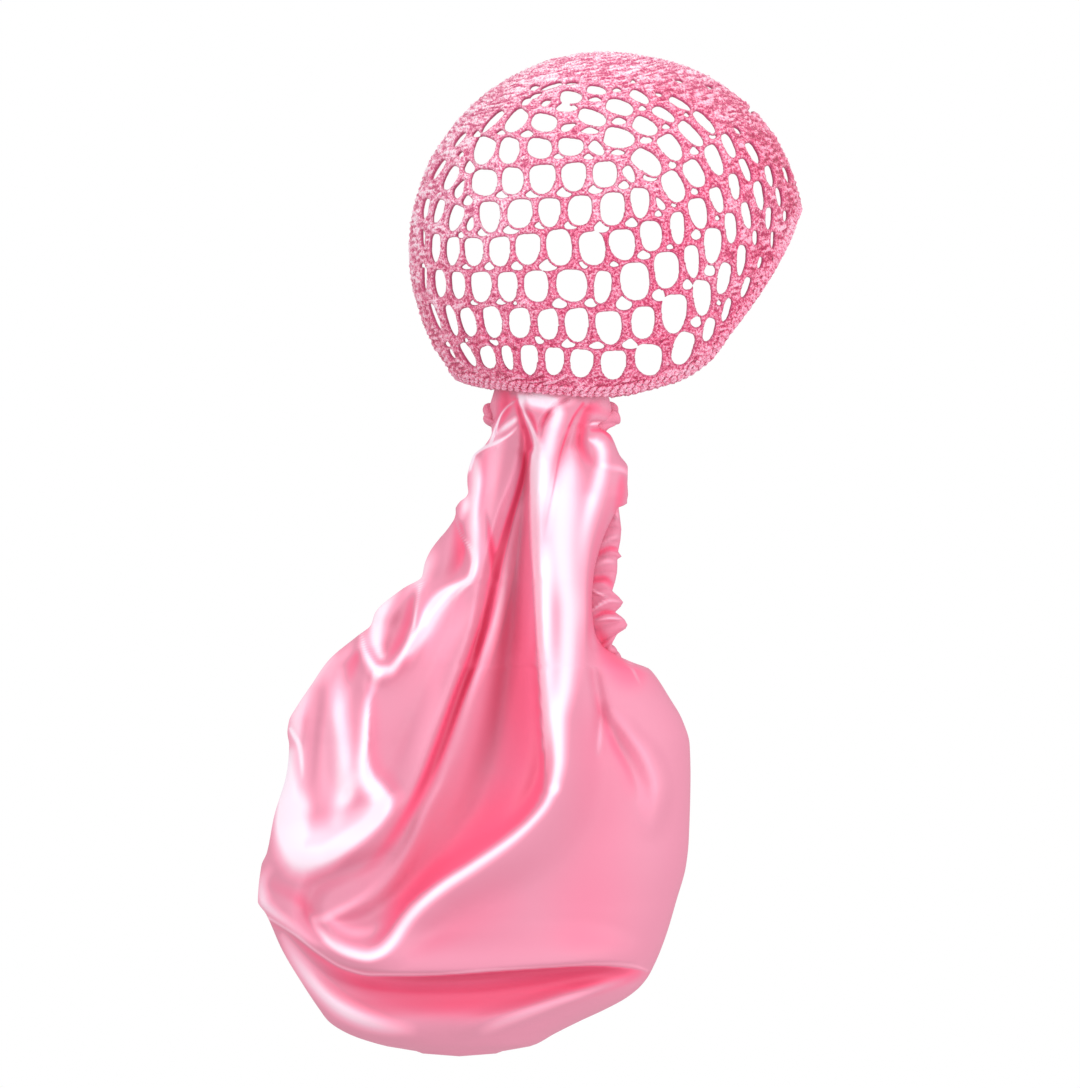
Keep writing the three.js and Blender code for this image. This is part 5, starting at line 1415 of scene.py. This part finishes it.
class Nodes:
    """A material's node tree, with short ways to add nodes that are fed with values or outputs."""

    def __init__(self, name):
        self.material = bpy.data.materials.new(name)
        self.material.use_nodes = True
        self.tree = self.material.node_tree
        self.shader = self.tree.nodes["Principled BSDF"]

    def feed(self, node, inputs):
        """Join another node's output to each named input, or give it a number, a way or a colour."""
        for key, value in inputs.items():
            socket = node.inputs[key]
            if isinstance(value, bpy.types.NodeSocket):
                self.tree.links.new(value, socket)
            elif socket.type == "RGBA":
                socket.default_value = (*value, 1)
            else:
                socket.default_value = value

    def add(self, kind, inputs, **settings):
        node = self.tree.nodes.new(kind)
        for key, value in settings.items():
            setattr(node, key, value)
        self.feed(node, inputs)
        return node

    def place(self):
        return self.add("ShaderNodeTexCoord", {}).outputs["Object"]

    def stored(self, name):
        """What point_values stored under a name."""
        return self.add("ShaderNodeAttribute", {}, attribute_name=name).outputs["Fac"]

    def noise(self, scale, detail=2.0, roughness=0.5):
        inputs = {"Vector": self.place(), "Scale": scale, "Detail": detail, "Roughness": roughness}
        return self.add("ShaderNodeTexNoise", inputs).outputs["Fac"]

    def maths(self, operation, *values, clamp=False):
        inputs = dict(enumerate(values))
        node = self.add("ShaderNodeMath", inputs, operation=operation, use_clamp=clamp)
        return node.outputs["Value"]

    def ranged(self, value, **limits):
        """A value brought from one range to another, both from 0 to 1 unless limits say otherwise."""
        inputs = {key.replace("_", " ").title(): limit for key, limit in limits.items()}
        return self.add("ShaderNodeMapRange", {"Value": value, **inputs}).outputs["Result"]

    def ramp(self, value, stops):
        node = self.add("ShaderNodeValToRGB", {"Fac": value})
        elements = node.color_ramp.elements
        while len(elements) < len(stops):
            elements.new(0.5)
        for element, (position, colour) in zip(elements, stops):
            element.position = position
            element.color = (*colour, 1)
        return node.outputs["Color"]

    def mix(self, share, first, second):
        inputs = {"Factor": share, "A": first, "B": second}
        return self.add("ShaderNodeMix", inputs, data_type="RGBA").outputs["Result"]

    def bump(self, height, strength, distance):
        inputs = {"Height": height, "Strength": strength, "Distance": distance}
        self.feed(self.shader, {"Normal": self.add("ShaderNodeBump", inputs).outputs["Normal"]})


def linear(red, green, blue):
    """A colour's linear values from its usual 0 to 255 ones."""
    return tuple(((c / 255 + 0.055) / 1.055) ** 2.4 if c > 10 else c / 255 / 12.92
                 for c in (red, green, blue))


def tones(stops):
    """A ramp's stops with linear colours, from ones from 0 to 255."""
    return [(position, linear(*colour)) for position, colour in stops]


def yarn_material():
    """Pink fibres in random pale clouds, painted highlights up-left and on streaks, painted edge shade."""
    nodes = Nodes("chenille_yarn")
    specks = nodes.noise(820, detail=2, roughness=0.7)
    # Streaks and plies lighter where they stand out, a painted highlight, over the fibres' own specks.
    blend = nodes.maths("MULTIPLY_ADD", nodes.stored("yarn_mottle_and_highlight"), STREAKS_AND_HIGHLIGHT_SHARE, specks)
    deep, pale = [nodes.ramp(blend, tones(stops)) for stops in (YARN_DEEP, YARN_PALE)]
    # Pale clouds: random noise, thickened towards the lit upper left, a painted highlight.
    inputs = {0: nodes.place(), 1: LIT_SIDE_WAY}
    towards = nodes.add("ShaderNodeVectorMath", inputs, operation="DOT_PRODUCT").outputs["Value"]
    height = nodes.ranged(towards, from_min=PALE_RANGE[0], from_max=PALE_RANGE[1], to_max=PALE_SHARE)
    lowered = nodes.maths("SUBTRACT", height, PALE_CUT)
    clouds = nodes.maths("MULTIPLY_ADD", nodes.noise(24), PALE_CLOUDS, lowered, clamp=True)
    # Painted shade: the yarn darkens towards PAINTED_EDGE_SHADE at its edges, where its round sides fall in
    # shade.
    edge = nodes.ramp(nodes.stored("yarn_depth"), [(0.0, (1, 1, 1)), (0.5, (0, 0, 0))])
    colour = nodes.mix(edge, nodes.mix(clouds, deep, pale), linear(*PAINTED_EDGE_SHADE))
    nodes.feed(nodes.shader, {
        "Base Color": colour, "Roughness": 0.95, "Sheen Weight": 0.25, "Sheen Roughness": 0.5,
    })
    nodes.bump(specks, strength=1.0, distance=0.0012)
    return nodes.material


def satin_material():
    """A soft gloss over the satin's pink, painted with highlights and shade from the strokes' tone."""
    nodes = Nodes("satin")
    share = nodes.ranged(nodes.stored("painted_light_tone"), from_min=-1)
    colour = nodes.ramp(share, tones(SATIN_SHADE_TO_HIGHLIGHT))
    nodes.feed(nodes.shader, {"Base Color": colour, "Roughness": 0.58, "Specular IOR Level": 0.45})
    nodes.bump(nodes.noise(1800, detail=1), strength=0.05, distance=0.0002)
    return nodes.material


def floor_material():
    nodes = Nodes("floor")
    colour = nodes.ramp(nodes.noise(0.6), FLOOR_TONES)
    nodes.feed(nodes.shader, {"Base Color": colour, "Roughness": 0.9})
    return nodes.material


# The stage: floor, lights, camera.


def make_floor(material):
    mesh = bpy.data.meshes.new("floor")
    ends = [(-1, -1), (1, -1), (1, 1), (-1, 1)]
    corners = [(x * FLOOR_HALF, y * FLOOR_HALF, FLOOR_HEIGHT) for x, y in ends]
    mesh.from_pydata(corners, [], [(0, 1, 2, 3)])
    mesh.materials.append(material)
    floor = in_scene("floor", mesh)


def area_light(name, place, size, watts):
    light = bpy.data.lights.new(name, "AREA")
    light.shape = "RECTANGLE"
    light.size, light.size_y = size
    light.energy = watts
    made = in_scene(name, light)
    made.location = place
    direction = np.array(LIGHT_AIM) - np.array(place)
    made.rotation_mode = "QUATERNION"
    made.rotation_quaternion = Vector(direction).to_track_quat("-Z", "Y")


def make_lights():
    """A white world that lights less strongly than it is seen, and the area lights."""
    world = bpy.data.worlds.new("studio")
    bpy.context.scene.world = world
    world.use_nodes = True
    tree = world.node_tree
    background = tree.nodes["Background"]
    background.inputs["Color"].default_value = (1, 1, 1, 1)
    path = tree.nodes.new("ShaderNodeLightPath")
    strength = tree.nodes.new("ShaderNodeMapRange")
    strength.inputs["To Min"].default_value = WORLD_LIGHT
    strength.inputs["To Max"].default_value = WORLD_SEEN
    tree.links.new(path.outputs["Is Camera Ray"], strength.inputs["Value"])
    tree.links.new(strength.outputs["Result"], background.inputs["Strength"])
    for light in LIGHTS:
        area_light(*light)


def make_camera():
    camera = bpy.data.cameras.new("camera")
    seen = max(FRAME_PIXELS) * MM_PER_PIXEL * MM
    camera.sensor_width = SENSOR
    camera.lens = SENSOR * CAMERA_DISTANCE / seen
    camera.clip_start, camera.clip_end = CAMERA_CLIP
    made = in_scene("camera", camera)
    made.location = camera_place() * MM
    made.rotation_euler = (math.pi / 2, 0, 0)
    bpy.context.scene.camera = made


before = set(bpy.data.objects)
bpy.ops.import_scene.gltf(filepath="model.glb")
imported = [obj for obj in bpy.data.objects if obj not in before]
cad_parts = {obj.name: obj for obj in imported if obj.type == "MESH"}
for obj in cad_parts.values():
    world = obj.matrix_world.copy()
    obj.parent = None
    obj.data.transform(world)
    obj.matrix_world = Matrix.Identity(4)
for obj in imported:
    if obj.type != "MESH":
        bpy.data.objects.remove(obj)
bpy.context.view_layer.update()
make_camera()
make_floor(floor_material())
make_lights()
bpy.context.scene.view_settings.view_transform = "Standard"

yarn_finish = yarn_material()
satin_finish = satin_material()
net = net_pieces(yarn_finish)
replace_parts(net[0], "net_crown")
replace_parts(rim_band(yarn_finish), "rim_band")
bag, casing = satin_bag(satin_finish), satin_casing(satin_finish)
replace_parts(bag, "satin_bag")
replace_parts(casing, "mouth_elastic")
